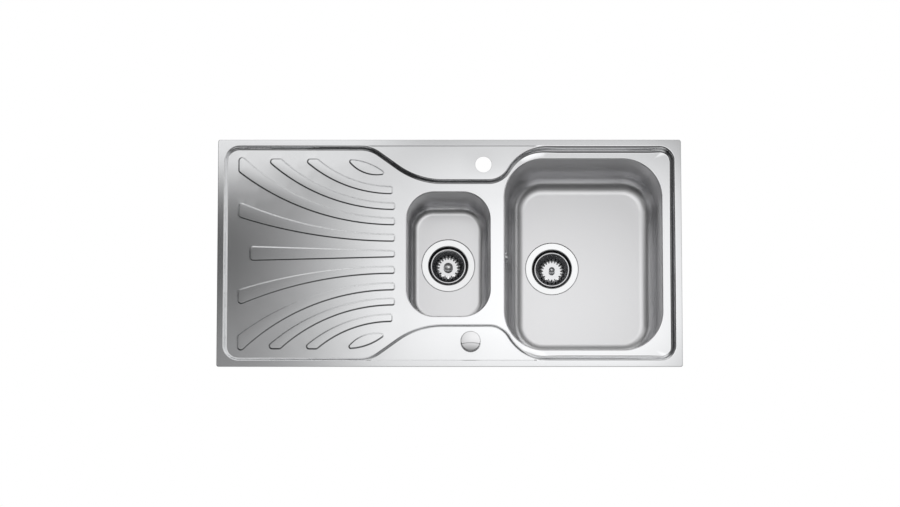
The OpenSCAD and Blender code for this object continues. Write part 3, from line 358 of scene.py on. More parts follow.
def deck_height(x, y):
    d = signed_distance(x, y, outline)
    on_ledge = smooth(TIP_X + CREASE_IN[0], TIP_X + CREASE_IN[1], x) \
        * (1 - smooth(LEDGE_RIGHT_X - CREASE_OUT[0], LEDGE_RIGHT_X - CREASE_OUT[1], x))
    top = RIM_TOP - (RIM_TOP - LEDGE_Z) * eased((RECESS_Y - np.abs(y)) / CREASE_W) * on_ledge
    z = top + (floor_height(x) - top) * eased(d / step_width(x), 0.4)
    near = x < RIB_RIGHT_X + 1
    rise = np.zeros(len(x))
    for away in rib_distances(x[near], y[near]):
        rise[near] = np.maximum(rise[near], eased((RIB_FOOT - away) / RIB_EDGE, 0.4))
    return z + RIB_RISE * rise


def slope_normals(height, h):
    """A function for the normals of a height in plan, measured over h to each side."""
    def normals(x, y):
        gx = (height(x + h, y) - height(x - h, y)) / (2 * h)
        gy = (height(x, y + h) - height(x, y - h)) / (2 * h)
        n = np.stack([-gx, -gy, np.ones(len(x))], 1)
        return n / np.linalg.norm(n, axis=1)[:, None]
    return normals


# ---- Meshes

def quads(rows, cols, closed=True, skip=None):
    """Faces between rows of points. closed joins the ends of each row."""
    return [(i * cols + j, i * cols + (j + 1) % cols, (i + 1) * cols + (j + 1) % cols, (i + 1) * cols + j)
            for i in range(rows - 1) for j in range(cols if closed else cols - 1)
            if not (skip and skip(i, j))]


def new_mesh(name, points, faces, look):
    """A smooth mesh from points in metres."""
    mesh = bpy.data.meshes.new(name)
    mesh.from_pydata(points, [], faces)
    mesh.polygons.foreach_set("use_smooth", [True] * len(mesh.polygons))
    mesh.materials.append(look)
    return mesh


class Shape:
    """Collects faces with a normal at every corner, and makes one object of them."""

    def __init__(self):
        self.points, self.normals, self.faces, self.count = [], [], [], 0

    def add(self, points, normals, faces):
        self.points.append(np.asarray(points, float))
        self.normals.append(np.asarray(normals, float))
        self.faces.append([tuple(i + self.count for i in face) for face in faces])
        self.count += len(points)

    def grid(self, points, normals, closed=True, skip=None):
        faces = quads(*points.shape[:2], closed, skip)
        self.add(points.reshape(-1, 3), normals.reshape(-1, 3), faces)

    def sweep(self, plan, out, section, normals, skip=None):
        """A section, as [inset, z] with its normals, carried round a closed plan."""
        p = np.stack([np.column_stack([plan - s[0] * out, np.full(len(plan), s[1])]) for s in section])
        n = np.stack([np.column_stack([-m[0] * out, np.full(len(plan), m[1])]) for m in normals])
        self.grid(p, n, skip=skip)

    def lathe(self, section, normals, centre=(0, 0), sides=96):
        """A section, as [radius, z], turned about a middle. The solid lies to the right of its path."""
        a = np.linspace(0, 2 * math.pi, sides, endpoint=False)
        out = np.stack([np.cos(a), np.sin(a)], 1)
        self.sweep(np.tile(np.array(centre[:2], float), (sides, 1)), out,
                   [(-s[0], s[1]) for s in section], [(m[0], -m[1]) for m in normals])

    def sheet(self, points, faces, height, normals_at):
        """A sheet in plan with a height; its underside lies along its normals."""
        z, n = height(points[:, 0], points[:, 1]), normals_at(points[:, 0], points[:, 1])
        top = np.column_stack([points, z])
        self.add(top, n, faces)
        self.add(top - SHEET * n, -n, faces)

    def flat_sheet(self, points, faces, level):
        self.sheet(points, faces, lambda x, y: np.full(len(x), level),
                   lambda x, y: np.tile([0.0, 0.0, 1.0], (len(x), 1)))

    def object(self, name, look, body, replaces=()):
        """One object of all faces, each turned to the side of its normals."""
        points, normals = np.vstack(self.points), np.vstack(self.normals)
        faces = []
        for face in (f for part in self.faces for f in part):
            a, b, c = points[face[0]], points[face[1]], points[face[2]]
            if len(face) == 4 and np.linalg.norm(np.cross(b - a, c - a)) < 1e-7:
                b, c = c, points[face[3]]
            across = np.cross(b - a, c - a)
            if np.linalg.norm(across) < 1e-9:
                continue
            faces.append(face if across @ normals[list(face)].sum(0) > 0 else face[::-1])
        mesh = new_mesh(name, points * MM, faces, look)
        mesh.normals_split_custom_set_from_vertices(normals)
        return place(bpy.data.objects.new(name, mesh), body, replaces)


def place(obj, body, replaces=()):
    bpy.context.scene.collection.objects.link(obj)
    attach(obj, body)
    if replaces:
        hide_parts(*replaces)
    return obj


def triangles(loops, loose, keep):
    """Triangles between closed loops in plan, with loose points among them.
    keep says which of them stay, by their middles."""
    points, edges = [], []
    for loop in loops:
        first = len(points)
        points.extend(loop)
        edges.extend((first + i, first + (i + 1) % len(loop)) for i in range(len(loop)))
    points.extend(loose)
    verts, _, faces, *_ = delaunay_2d_cdt([Vector(p) for p in points], edges, [], 0, 1e-5)
    verts = np.array([v[:] for v in verts])
    centres = np.array([verts[list(f)].mean(0) for f in faces])
    kept = keep(centres[:, 0], centres[:, 1])
    return verts, [f for f, k in zip(faces, kept) if k]


# ---- Materials

def material(name, color, metallic, roughness, grain=0.0, grain_size=900.0, bump=0.0):
    """A plain finish. grain varies its roughness and bump its surface, both by one fine noise."""
    look = bpy.data.materials.new(name)
    look.use_nodes = True
    nodes, links = look.node_tree.nodes, look.node_tree.links
    shader = nodes["Principled BSDF"]
    shader.inputs["Base Color"].default_value = (*color, 1)
    shader.inputs["Metallic"].default_value = metallic
    shader.inputs["Roughness"].default_value = roughness
    if grain or bump:
        coords = nodes.new("ShaderNodeTexCoord")
        noise = nodes.new("ShaderNodeTexNoise")
        noise.inputs["Scale"].default_value = grain_size
        noise.inputs["Detail"].default_value = 3
        links.new(coords.outputs["Object"], noise.inputs["Vector"])
    if grain:
        varied = nodes.new("ShaderNodeMapRange")
        varied.inputs["To Min"].default_value = roughness - grain
        varied.inputs["To Max"].default_value = roughness + grain
        links.new(noise.outputs["Fac"], varied.inputs["Value"])
        links.new(varied.outputs["Result"], shader.inputs["Roughness"])
    if bump:
        dent = nodes.new("ShaderNodeBump")
        dent.inputs["Strength"].default_value = bump
        dent.inputs["Distance"].default_value = 0.1 * MM
        links.new(noise.outputs["Fac"], dent.inputs["Height"])
        links.new(dent.outputs["Normal"], shader.inputs["Normal"])
    return look


DECK_STEEL = material("deck_steel", (0.765, 0.77, 0.78), 1, 0.15, grain=0.04, bump=0.05)
BOWL_STEEL = material("bowl_steel", (0.79, 0.79, 0.80), 1, 0.3, grain=0.04, bump=0.05)
POLISHED = material("polished_steel", (0.74, 0.745, 0.75), 1, 0.12)
SATIN = material("satin_chrome", (0.80, 0.80, 0.81), 1, 0.26, grain=0.03)
# A darker copy of the cup's polished steel: painted shade for the inside of the strainer cup.
CUP_INSIDE_PAINTED_SHADE = material("cup_inside_painted_shade", (0.42, 0.42, 0.43), 1, 0.4)
BASKET = material("strainer_steel", (0.66, 0.66, 0.67), 1, 0.14, grain=0.02)
# A darker copy of the strainer steel: painted shade for the basket's wall, standing in for the dark cup that
# the wall mirrors.
BASKET_WALL_PAINTED_SHADE = material("strainer_wall_painted_shade", (0.36, 0.36, 0.37), 1, 0.22, grain=0.03)
ZINC = material("zinc_steel", (0.62, 0.64, 0.66), 1, 0.38, grain=0.1, grain_size=300)
CAST = material("cast_zinc", (0.42, 0.43, 0.45), 1, 0.5, grain=0.08, grain_size=400, bump=0.4)
PLATED = material("plated_rod", (0.70, 0.70, 0.72), 1, 0.22)
RUBBER = material("rubber", (0.018, 0.018, 0.02), 0, 0.6, bump=0.3)
FOAM = material("foam_rubber", (0.03, 0.03, 0.033), 0, 0.9, grain_size=1600, bump=0.8)
WASTE = material("waste_plastic", (0.78, 0.78, 0.77), 0, 0.42, bump=0.2, grain_size=500)
CABLE = material("cable_plastic", (0.06, 0.06, 0.065), 0, 0.4)
HOSE = material("hose_plastic", (0.55, 0.56, 0.57), 0, 0.38)
BITUMEN = material("bitumen", (0.035, 0.035, 0.038), 0, 0.85, grain_size=700, bump=1.0)


# ---- Pieces

def second_look(obj, look, chosen):
    """Another material for the faces that chosen picks by their middles, in millimetres."""
    obj.data.materials.append(look)
    for face in obj.data.polygons:
        face.material_index = int(chosen(*(face.center / MM)))


def build_deck():
    """The pressed sheet: rim, recess, ledges, ribs and the two holes."""
    shape = Shape()
    inward = -left_normals(outline)
    fractions = (0, 0.08, 0.16, 0.25, 0.35, 0.5, 0.65, 0.75, 0.84, 0.92, 1)
    widths = step_width(outline[:, 0])[:, None]
    loops = [outline + inward * widths * f for f in fractions]
    edge, edge_out = ring(SINK_W, SINK_D, RIM_CORNER_R, corner_steps=8)
    loops.append(edge - edge_out * EDGE_LAP)
    reaches = [RIB_FOOT - RIB_EDGE * share for share in (0, 0.22, 0.5, 0.78, 1)]
    for core in cores:
        for reach in reaches:
            loop = grown(core, reach)
            loops += [loop, loop * [1, -1]]
    loops += [grown(straight_core, reach) for reach in reaches]
    bowls = [bowl_plan(half_low, half_high, HALF_CORNER_R), bowl_plan(main_low, main_high, MAIN_CORNER_R)]
    loops += [ring(w, l, r, c, stops=(-OVERFLOW_WINDOW, OVERFLOW_WINDOW))[0] for c, w, l, r in bowls]
    holes = [np.array(TAP), np.array(KNOB)]
    loops += [circle(h, HOLE_R + HOLE_LIP, 5) for h in holes]
    pitch = 6
    loose = [(x, s * (RECESS_Y - d)) for x in np.arange(TIP_X + 2 * pitch, LEDGE_RIGHT_X - 25, pitch)
             for s in (-1, 1) for d in (0, CREASE_W * 0.3, CREASE_W * 0.6, CREASE_W)]
    loose += [(x, s * (RECESS_Y + d)) for x in np.arange(TIP_X - 4 * pitch, LEDGE_RIGHT_X + 40, pitch)
              for s in (-1, 1) for d in (0.5, 4)]
    floor = np.array([(x, y) for x in np.arange(-460, 460, 22.5) for y in np.arange(-210, 211, 21.0)])
    clear = signed_distance(floor[:, 0], floor[:, 1], outline) > 20
    for away in rib_distances(floor[:, 0], floor[:, 1]):
        clear &= away > RIB_FOOT + 2
    for c, w, l, r in bowls:
        clear &= rounded_distance(floor[:, 0], floor[:, 1], c, w, l, r) > 3
    loose += list(floor[clear])

    def keep(x, y):
        kept = np.ones(len(x), bool)
        for c, w, l, r in bowls:
            kept &= rounded_distance(x, y, c, w, l, r) > -0.02
        for h in holes:
            kept &= np.hypot(x - h[0], y - h[1]) > HOLE_R + HOLE_LIP - 0.1
        return kept

    points, faces = triangles(loops, loose, keep)
    shape.sheet(points, faces, deck_height, slope_normals(deck_height, 0.05))
    shape.sweep(edge, edge_out, *path([(EDGE_LAP, RIM_TOP), (0, RIM_TOP, EDGE_ROUND), (0, EDGE_Z, 0.2),
                                       (SHEET, EDGE_Z, 0.2), (SHEET, RIM_TOP - SHEET, 0.6),
                                       (EDGE_LAP, RIM_TOP - SHEET)], closed=False, steps=6))
    for h in holes:
        shape.lathe(*path([(HOLE_R + HOLE_LIP, LEDGE_Z - SHEET), (HOLE_R, LEDGE_Z - SHEET, 0.1),
                           (HOLE_R, LEDGE_Z, 0.9), (HOLE_R + HOLE_LIP, LEDGE_Z)], closed=False),
                    centre=h, sides=72)
    shape.object("deck_sheet", DECK_STEEL, "sink", ["deck"])


def bowl_plan(low, high, corner_r):
    return ((low + high) / 2)[:2], high[0] - low[0], high[1] - low[1], corner_r


def wall_section(depth, draft, fillet, inside, levels=()):
    """A bowl wall's face from its rim line to the floor, as [inset, z] and normals, and its whole inset.
    inside is 0 for the face that shows and the sheet's thickness for the one behind it."""
    tilt = math.radians(draft)
    fillet_top = -depth + fillet - fillet * math.sin(tilt)
    x = LIP_R * math.cos(tilt) + (LIP_R * (math.sin(tilt) - 1) - fillet_top) * math.tan(tilt) \
        + fillet * math.cos(tilt)
    a = np.linspace(0, math.pi / 2 - tilt, LIP_POINTS)
    lip = np.stack([(LIP_R - inside) * np.sin(a), -LIP_R + (LIP_R - inside) * np.cos(a)], 1)
    b = np.linspace(math.pi + tilt, 1.5 * math.pi, 13)
    foot = np.stack([x + (fillet + inside) * np.cos(b), fillet - depth + (fillet + inside) * np.sin(b)], 1)
    wall = np.array([lip[-1] + (foot[0] - lip[-1]) * (z - lip[-1][1]) / (foot[0][1] - lip[-1][1])
                     for z in levels]).reshape(-1, 2)
    side = (math.cos(tilt), math.sin(tilt))
    normals = np.vstack([np.stack([np.sin(a), np.cos(a)], 1), np.tile(side, (len(wall), 1)),
                         -np.stack([np.cos(b), np.sin(b)], 1)])
    return np.vstack([lip, wall, foot]), normals, x


def build_bowl(node, low, high, corner_r, draft, fillet, drain, overflow):
    """A drawn bowl with its drain's seat, and with a hole in its left wall where it has an overflow."""
    shape = Shape()
    centre, w, l, r = bowl_plan(low, high, corner_r)
    top, window, row = high[2], OVERFLOW_WINDOW, LIP_POINTS
    depth = top - low[2] - SEAT_DROP - SHEET
    levels = (-OVERFLOW_DROP + window, -OVERFLOW_DROP - window) if overflow else (-depth / 2,)
    plan, out = ring(w, l, r, centre, stops=(-window, window))
    left_face = (np.abs(plan[:, 0] - (centre[0] - w / 2)) < 0.01) & (np.abs(plan[:, 1]) <= window + 0.01)

    def skip(i, j):
        return overflow and i == row and left_face[j] and left_face[(j + 1) % len(plan)]

    for inside, sign in ((0, 1), (SHEET, -1)):
        section, normals, floor_in = wall_section(depth, draft, fillet, inside, levels)
        shape.sweep(plan, out, section + [0, top], normals * sign, skip=skip)
        if overflow:
            pierced_wall(shape, centre[0] - w / 2, section, row, top, normals[row] * sign, inside)
    floor_loop = plan - out * floor_in
    seat_edge = SEAT_R + SEAT_EDGE

    def keep(x, y):
        return np.hypot(x - drain[0], y - drain[1]) > seat_edge - 0.02

    level, seat = top - depth, top - depth - SEAT_DROP
    shape.flat_sheet(*triangles([floor_loop, circle(drain, seat_edge)], [], keep), level)
    shape.lathe(*path([(seat_edge, level - SHEET), (SEAT_R + SHEET, level - SHEET, 0.1),
                       (SEAT_R + SHEET, seat - SHEET, 0.6), (DRAIN_R, seat - SHEET, 0.2),
                       (DRAIN_R, seat, 0.2), (SEAT_R, seat, 0.6), (SEAT_R, level, 0.8),
                       (seat_edge, level)], closed=False), centre=drain, sides=120)
    shape.object(node + "_sheet", BOWL_STEEL, "sink", [node])


def pierced_wall(shape, wall_x, section, row, top, normal, inside):
    """The square of wall round the overflow's hole, and on the inner face the hole's edge."""
    upper, lower = section[row], section[row + 1]
    at, along = (upper + lower) / 2, (lower - upper) / 2
    a = np.radians(np.arange(0, 360, 7.5))
    disc = np.stack([np.cos(a), np.sin(a)], 1)
    square = disc / np.abs(disc).max(1)[:, None]

    def spot(s, t, back=0):
        return np.column_stack([wall_x + at[0] + along[0] * t - back * abs(normal[0]), s,
                                top + at[1] + along[1] * t - back * abs(normal[1])])

    reach = OVERFLOW_R / np.hypot(*along)
    rows = np.stack([spot(square[:, 0] * OVERFLOW_WINDOW, square[:, 1]),
                     spot(disc[:, 0] * OVERFLOW_R, disc[:, 1] * reach)])
    shape.grid(rows, np.tile([normal[0], 0, normal[1]], (2, len(a), 1)))
    if not inside:
        edge = np.stack([rows[1], spot(disc[:, 0] * OVERFLOW_R, disc[:, 1] * reach, SHEET)])
        inward = -np.column_stack([np.zeros(len(a)), disc[:, 0], -disc[:, 1]])
        shape.grid(edge, np.stack([inward, inward]))


def build_knob():
    """The pop-up control: a low dome with a scoop in its front half, whose edge is a shallow arch."""
    low, high = box("control_knob")
    foot, top, r = low[2], high[2], (high[0] - low[0]) / 2
    step, step_run, scoop_fall, scoop_edge, arch = 1.4, 1.3, 1.0, 3.4, 3.4
    dome, edge_round, foot_round, spindle_r = 0.9, 1.6, 0.5, 4.05

    def height(x, y):
        x, y = x - KNOB[0], y - KNOB[1]
        reach = np.hypot(x, y)
        cap = top - dome * (reach / r) ** 2
        line = -scoop_edge - arch * (x / r) ** 2
        in_front = np.clip(line - y, 0, None)
        dish = step * smooth(0, step_run, in_front) + scoop_fall * (in_front / r) ** 2
        past = np.clip(reach - r + edge_round, 0, None)
        bevel = edge_round - np.sqrt(np.maximum(edge_round ** 2 - past ** 2, 0))
        return cap - dish - bevel

    shape = Shape()
    reaches = [r - edge_round * (1 - math.sin(t)) for t in np.radians((0, 20, 40, 60, 78))]
    loops = [circle(KNOB, reach) for reach in reaches]
    past_edge = (-0.06, 0, 0.3, 0.65, 1, 1.3, 2.5, 4.5, 7, 9.5, 12)
    loose = [(KNOB[0] + x, KNOB[1] - scoop_edge - arch * (x / r) ** 2 - d)
             for x in np.linspace(-r + 2.2, r - 2.2, 31) for d in past_edge
             if np.hypot(x, scoop_edge + d) < r - 2]
    loose += [(KNOB[0] + p * math.cos(q), KNOB[1] + p * math.sin(q)) for p in np.arange(2, r - 2, 2.5)
              for q in np.radians(np.arange(0, 181, 12)) if p * math.sin(q) > 0]
    points, faces = triangles(loops, loose, lambda x, y: np.ones(len(x), bool))
    x, y = points.T
    shape.add(np.column_stack([points, height(x, y)]), slope_normals(height, 0.04)(x, y), faces)
    a = np.radians(np.arange(0, 360, 3))
    out = np.stack([np.cos(a), np.sin(a), np.zeros(len(a))], 1)
    down = np.tile([0.0, 0.0, -1.0], (len(a), 1))

    def round_row(radius, z):
        return np.column_stack([np.array(KNOB) + radius * out[:, :2], z * np.ones(len(a))])

    rim_z = height(*round_row(reaches[-1], 0)[:, :2].T)
    side_foot, base = round_row(r, foot + foot_round), round_row(r - foot_round, foot)
    shape.grid(np.stack([round_row(reaches[-1], rim_z), round_row(r, rim_z - 0.5), side_foot]),
               np.stack([out] * 3))
    shape.grid(np.stack([side_foot, base]), np.stack([out * 0.7 + down * 0.7] * 2))
    shape.grid(np.stack([base, round_row(spindle_r, foot)]), np.stack([down] * 2))
    shape.object("control_knob_cap", SATIN, "control", ["control_knob"])


def build_flange(node):
    """A strainer's steel cup: a flange on the seat, a wall, and a floor with its vents."""
    low, high = box(node)
    at, top, r, floor = middle(node)[:2], high[2], (high[0] - low[0]) / 2, low[2] + SHEET
    vents = [at + VENT_RING * np.array([math.cos(t), math.sin(t)]) for t in np.radians(range(0, 360, 45))]
    edge = 0.3

    def keep(x, y):
        kept = np.hypot(x - at[0], y - at[1]) > CUP_HOLE_R + edge - 0.05
        for v in vents:
            kept &= np.hypot(x - v[0], y - v[1]) > VENT_R + edge - 0.05
        return kept

    shape = Shape()
    loops = [circle(at, CUP_PLATE_R), circle(at, CUP_HOLE_R + edge, 15)]
    loops += [circle(v, VENT_R + edge, 15) for v in vents]
    shape.flat_sheet(*triangles(loops, [], keep), floor)
    for hole, hole_r in [(at, CUP_HOLE_R)] + [(v, VENT_R) for v in vents]:
        shape.lathe(*path([(hole_r + edge, floor - SHEET), (hole_r, floor - SHEET, 0.1),
                           (hole_r, floor, 0.25), (hole_r + edge, floor)], closed=False),
                    centre=hole, sides=24)
    shape.lathe(*path([(CUP_PLATE_R, floor), (CUP_R, floor, 5), (CUP_R, top - 0.4, 2.0), (r, top, 1.0),
                       (r, top - SHEET, 0.1), (CUP_R + SHEET, top - SHEET, 1.0),
                       (CUP_R + SHEET, floor - SHEET, 5), (CUP_PLATE_R, floor - SHEET)],
                      closed=False, steps=5), centre=at, sides=120)
    cup = shape.object(node + "_cup", POLISHED, "sink", [node])
    # Painted shade: the cup's inside below the flange gets the darker copy of its steel, where the recess
    # lies in shade.
    flange_z = top - 2.5
    second_look(cup, CUP_INSIDE_PAINTED_SHADE,
                lambda x, y, z: math.hypot(x - at[0], y - at[1]) < CUP_R + 0.5 and z < flange_z)


def build_basket(node, body):
    """A strainer basket: a round pressed sheet with slots round its floor and holes in its wall."""
    at, top = middle(node)[:2], box(node)[1][2]
    floor, hem, sectors = top - BASKET_H, 1.5, 20
    half_sector = 180 / sectors
    slot_half, slot_from, slot_to = 1.8, 18.2, 27.5
    hole_r, hole_height = 1.6, BASKET_H * 0.62
    foot_r, lip_r, shaded_wall_r = 25.2, 35.5, 26.5
    line, side = path([(STEM_R + STEM_GAP, floor), (foot_r, floor, 6), (lip_r, top, 1.25),
                       (BASKET_R, top, 1.25), (BASKET_R, top - hem)], closed=False, steps=5)
    along = np.concatenate([[0], np.cumsum(np.linalg.norm(np.diff(line, axis=0), axis=1))])
    parts = [np.linspace(a, b, max(2, int((b - a) / 2.5) + 2))[:-1] for a, b in zip(along, along[1:])]
    fine = np.concatenate(parts + [along[-1:]])

    def on(u, values):
        return np.interp(u, along, values)

    flat_r = 22.0
    wide = flat_r * math.radians(half_sector)
    sides = np.linspace(-wide, wide, 5)
    frame_loop = np.vstack([np.stack([fine, np.full(len(fine), -wide)], 1)[:-1],
                            np.stack([np.full(5, along[-1]), sides], 1)[:-1],
                            np.stack([fine, np.full(len(fine), wide)], 1)[:0:-1],
                            np.stack([np.zeros(5), sides[::-1]], 1)[:-1]])
    slot_ends = (slot_from - STEM_R + slot_half, slot_to - STEM_R)
    hole_u = np.interp(floor + hole_height, line[:-6, 1], along[:-6])

    def across(u, v):
        """Real distance from the sector's middle line; v is that distance at the radius flat_r."""
        return v / flat_r * on(u, line[:, 0])

    def flattened(u, width):
        return np.stack([u, width * flat_r / on(u, line[:, 0])], 1)

    a = np.radians(np.arange(0, 360, 20))
    round_u, round_v = np.cos(a), np.sin(a)
    slot_u = np.where(round_u > 0, slot_ends[1], slot_ends[0]) + slot_half * round_u
    slot = flattened(slot_u, slot_half * round_v)
    hole = flattened(hole_u + hole_r * round_u, hole_r * round_v)

    def in_slot(u, v, more=0.0):
        past = np.maximum(np.maximum(slot_ends[0] - u, u - slot_ends[1]), 0)
        return np.hypot(past, across(u, v)) < slot_half + more

    def in_hole(u, v, more=0.0):
        return np.hypot(u - hole_u, across(u, v)) < hole_r + more

    loose = np.array([(u, v) for u in fine[1:-1] for v in sides[1:-1]])
    free = ~in_slot(loose[:, 0], loose[:, 1], 0.8) & ~in_hole(loose[:, 0], loose[:, 1], 0.8)
    points, faces = triangles([frame_loop, slot, hole], list(loose[free]),
                              lambda u, v: ~in_slot(u, v, -0.03) & ~in_hole(u, v, -0.03))

    def spot(p, turn, depth):
        u, t = p[:, 0], p[:, 1] / flat_r + turn
        out, up = -on(u, side[:, 0]), -on(u, side[:, 1])
        size = np.hypot(out, up)
        out, up = out / size, up / size
        r, z = on(u, line[:, 0]) - depth * out, on(u, line[:, 1]) - depth * up
        return (np.column_stack([at[0] + r * np.cos(t), at[1] + r * np.sin(t), z]),
                np.column_stack([out * np.cos(t), out * np.sin(t), up]))

    shape = Shape()
    for k in range(sectors):
        turn = math.radians(2 * half_sector * k)
        upper, n = spot(points, turn, 0)
        lower, _ = spot(points, turn, SHEET)
        shape.add(upper, n, faces)
        shape.add(lower, -n, faces)
        for loop in (slot, hole):
            rows = np.stack([spot(loop, turn, 0)[0], spot(loop, turn, SHEET)[0]])
            inward = spot(loop.mean(0)[None, :], turn, SHEET / 2)[0] - rows
            shape.grid(rows, inward / np.linalg.norm(inward, axis=2)[:, :, None])
        for end_u in (0.0, along[-1]):
            edge = np.stack([np.full(5, end_u), sides], 1)
            rows = np.stack([spot(edge, turn, 0)[0], spot(edge, turn, SHEET)[0]])
            ahead = rows[0] - spot(edge + [0.01 if end_u == 0 else -0.01, 0], turn, 0)[0]
            ahead /= np.linalg.norm(ahead, axis=1)[:, None]
            shape.grid(rows, np.stack([ahead, ahead]), closed=False)
    basket = shape.object(node + "_sheet", BASKET, body, [node])
    # Painted shade: the basket's wall, outside its wall radius and below the hem, gets the darker copy of its
    # steel.
    second_look(basket, BASKET_WALL_PAINTED_SHADE,
                lambda x, y, z: math.hypot(x - at[0], y - at[1]) > shaded_wall_r and z < top - hem)


def build_basket_knob(node, body, dome, edge):
    """A basket's turned knob, with a domed cap on its collar and stem."""
    low, high = box(node)
    at, top, foot, r = middle(node)[:2], high[2], low[2], (high[0] - low[0]) / 2
    floor = box(node.replace("_knob", ""))[1][2] - BASKET_H
    cap, collar_r = 5.0, STEM_R + 2
    ball = (r ** 2 + dome ** 2) / (2 * dome)
    crown = [(ball * math.sin(t), top - ball * (1 - math.cos(t)), 0.01)
             for t in np.linspace(0, math.asin(r / ball), 9)[:-1]]
    shape = Shape()
    shape.lathe(*path(crown + [(r, top - dome, edge), (r, top - cap, edge), (collar_r, top - cap, 0.8),
                               (collar_r, floor, 0.1), (STEM_R, floor, 0.1), (STEM_R, foot, 0.3),
                               (0, foot)], closed=False), centre=at, sides=48)
    shape.object(node + "_turned", POLISHED, body, [node])


def soften(node, look):
    """A CAD node shown as it is, with its edges rounded a little."""
    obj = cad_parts[node]
    obj.data.materials.clear()
    obj.data.materials.append(look)
    weld = obj.modifiers.new("weld", "WELD")
    weld.merge_threshold = 1e-6
    bevel = obj.modifiers.new("edges", "BEVEL")
    bevel.width = 0.25 * MM
    bevel.segments = 2
    bevel.limit_method = "ANGLE"
    bevel.angle_limit = math.radians(40)
    bevel.harden_normals = False
    obj.modifiers.new("shading", "WEIGHTED_NORMAL")


def build_hose():
    """The ribbed overflow hose: down from the elbow, round a quarter circle and to the waste's inlet."""
    low, high = box("overflow_hose")
    outer, bore, rib, pitch, bend = 11.0, 8.0, 1.5, 4.0, 42.0
    x, start, level = low[0] + outer, high[2], low[2] + outer
    drop, flat, turn = start - level - bend, high[0] - x - bend, bend * math.pi / 2
    length = drop + turn + flat
    ribs = int((length - 4 * outer) // pitch)
    first = (length - ribs * pitch) / 2
    rib_shape = ((0.0, 0.15), (0.12, 0.7), (0.3, 1), (0.42, 1), (0.5, 0.85), (0.62, 0.3), (0.8, 0), (0.92, 0))
    stops = [(0.0, bore), (0.0, outer)]
    stops += [(first + (i + share) * pitch, outer - rib * (1 - swell))
              for i in range(ribs) for share, swell in rib_shape]
    stops += [(length, outer), (length, bore), (length / 2, bore), (0.0, bore)]
    a = np.linspace(0, 2 * math.pi, 32, endpoint=False)
    rows = []
    for s, r in stops:
        t = min(1, max(0, (s - drop) / turn)) * math.pi / 2
        px = x + bend * (1 - math.cos(t)) + max(0, s - drop - turn)
        pz = start - min(s, drop) - bend * math.sin(t)
        rows.append(np.column_stack([px + r * np.cos(a) * math.cos(t), r * np.sin(a),
                                     pz + r * np.cos(a) * math.sin(t)]))
    points = np.stack(rows) * MM
    mesh = new_mesh("overflow_hose_ribbed", points.reshape(-1, 3), quads(*points.shape[:2]), HOSE)
    hose = bpy.data.objects.new("overflow_hose_ribbed", mesh)
    place(hose, "sink", ["overflow_hose"])
    hose.modifiers.new("weld", "WELD").merge_threshold = 1e-6


LOOKS = {
    "rim_gasket": FOAM, "clip_rails": ZINC, "clip_brackets": ZINC, "clip_screws": PLATED,
    "main_center_screw": POLISHED, "half_center_screw": POLISHED,
    "main_upper_seal": RUBBER, "half_upper_seal": RUBBER,
    "main_lower_seal": RUBBER, "half_lower_seal": RUBBER,
    "main_basket_seal": RUBBER, "half_basket_seal": RUBBER,
    "main_waste_body": WASTE, "half_waste_body": WASTE,
    "lift_pin": PLATED, "lift_lever": PLATED, "lever_nut": WASTE,
    "cable_anchor": ZINC, "cable_sheath": CABLE, "knob_housing": SATIN, "knob_washer": RUBBER,
    "knob_nut": WASTE, "knob_spindle": PLATED, "cable_drum": WASTE, "knob_cage": WASTE,
    "overflow_rosette": POLISHED, "overflow_screw": POLISHED, "overflow_seal": RUBBER,
    "overflow_elbow": WASTE, "hose_clips": PLATED, "main_sound_pad": BITUMEN, "half_sound_pads": BITUMEN,
    "earth_tag": ZINC}
LOOKS.update({"clip_jaw_%d" % i: CAST for i in range(1, 9)})

build_deck()
build_bowl("main_bowl", main_low, main_high, MAIN_CORNER_R, MAIN_DRAFT, MAIN_FILLET,
           drain=middle("main_flange")[:2], overflow=True)
build_bowl("half_bowl", half_low, half_high, HALF_CORNER_R, HALF_DRAFT, HALF_FILLET,
           drain=middle("half_flange")[:2], overflow=False)
build_knob()
build_hose()
for drain, basket_body in (("main", "main_strainer"), ("half", "half_strainer")):
    build_flange(drain + "_flange")
    build_basket(drain + "_basket", basket_body)
build_basket_knob("main_basket_knob", "main_strainer", dome=3.0, edge=0.8)
build_basket_knob("half_basket_knob", "half_strainer", dome=4.0, edge=0.45)
for node, look in LOOKS.items():
    soften(node, look)


# ---- Stage, light and camera

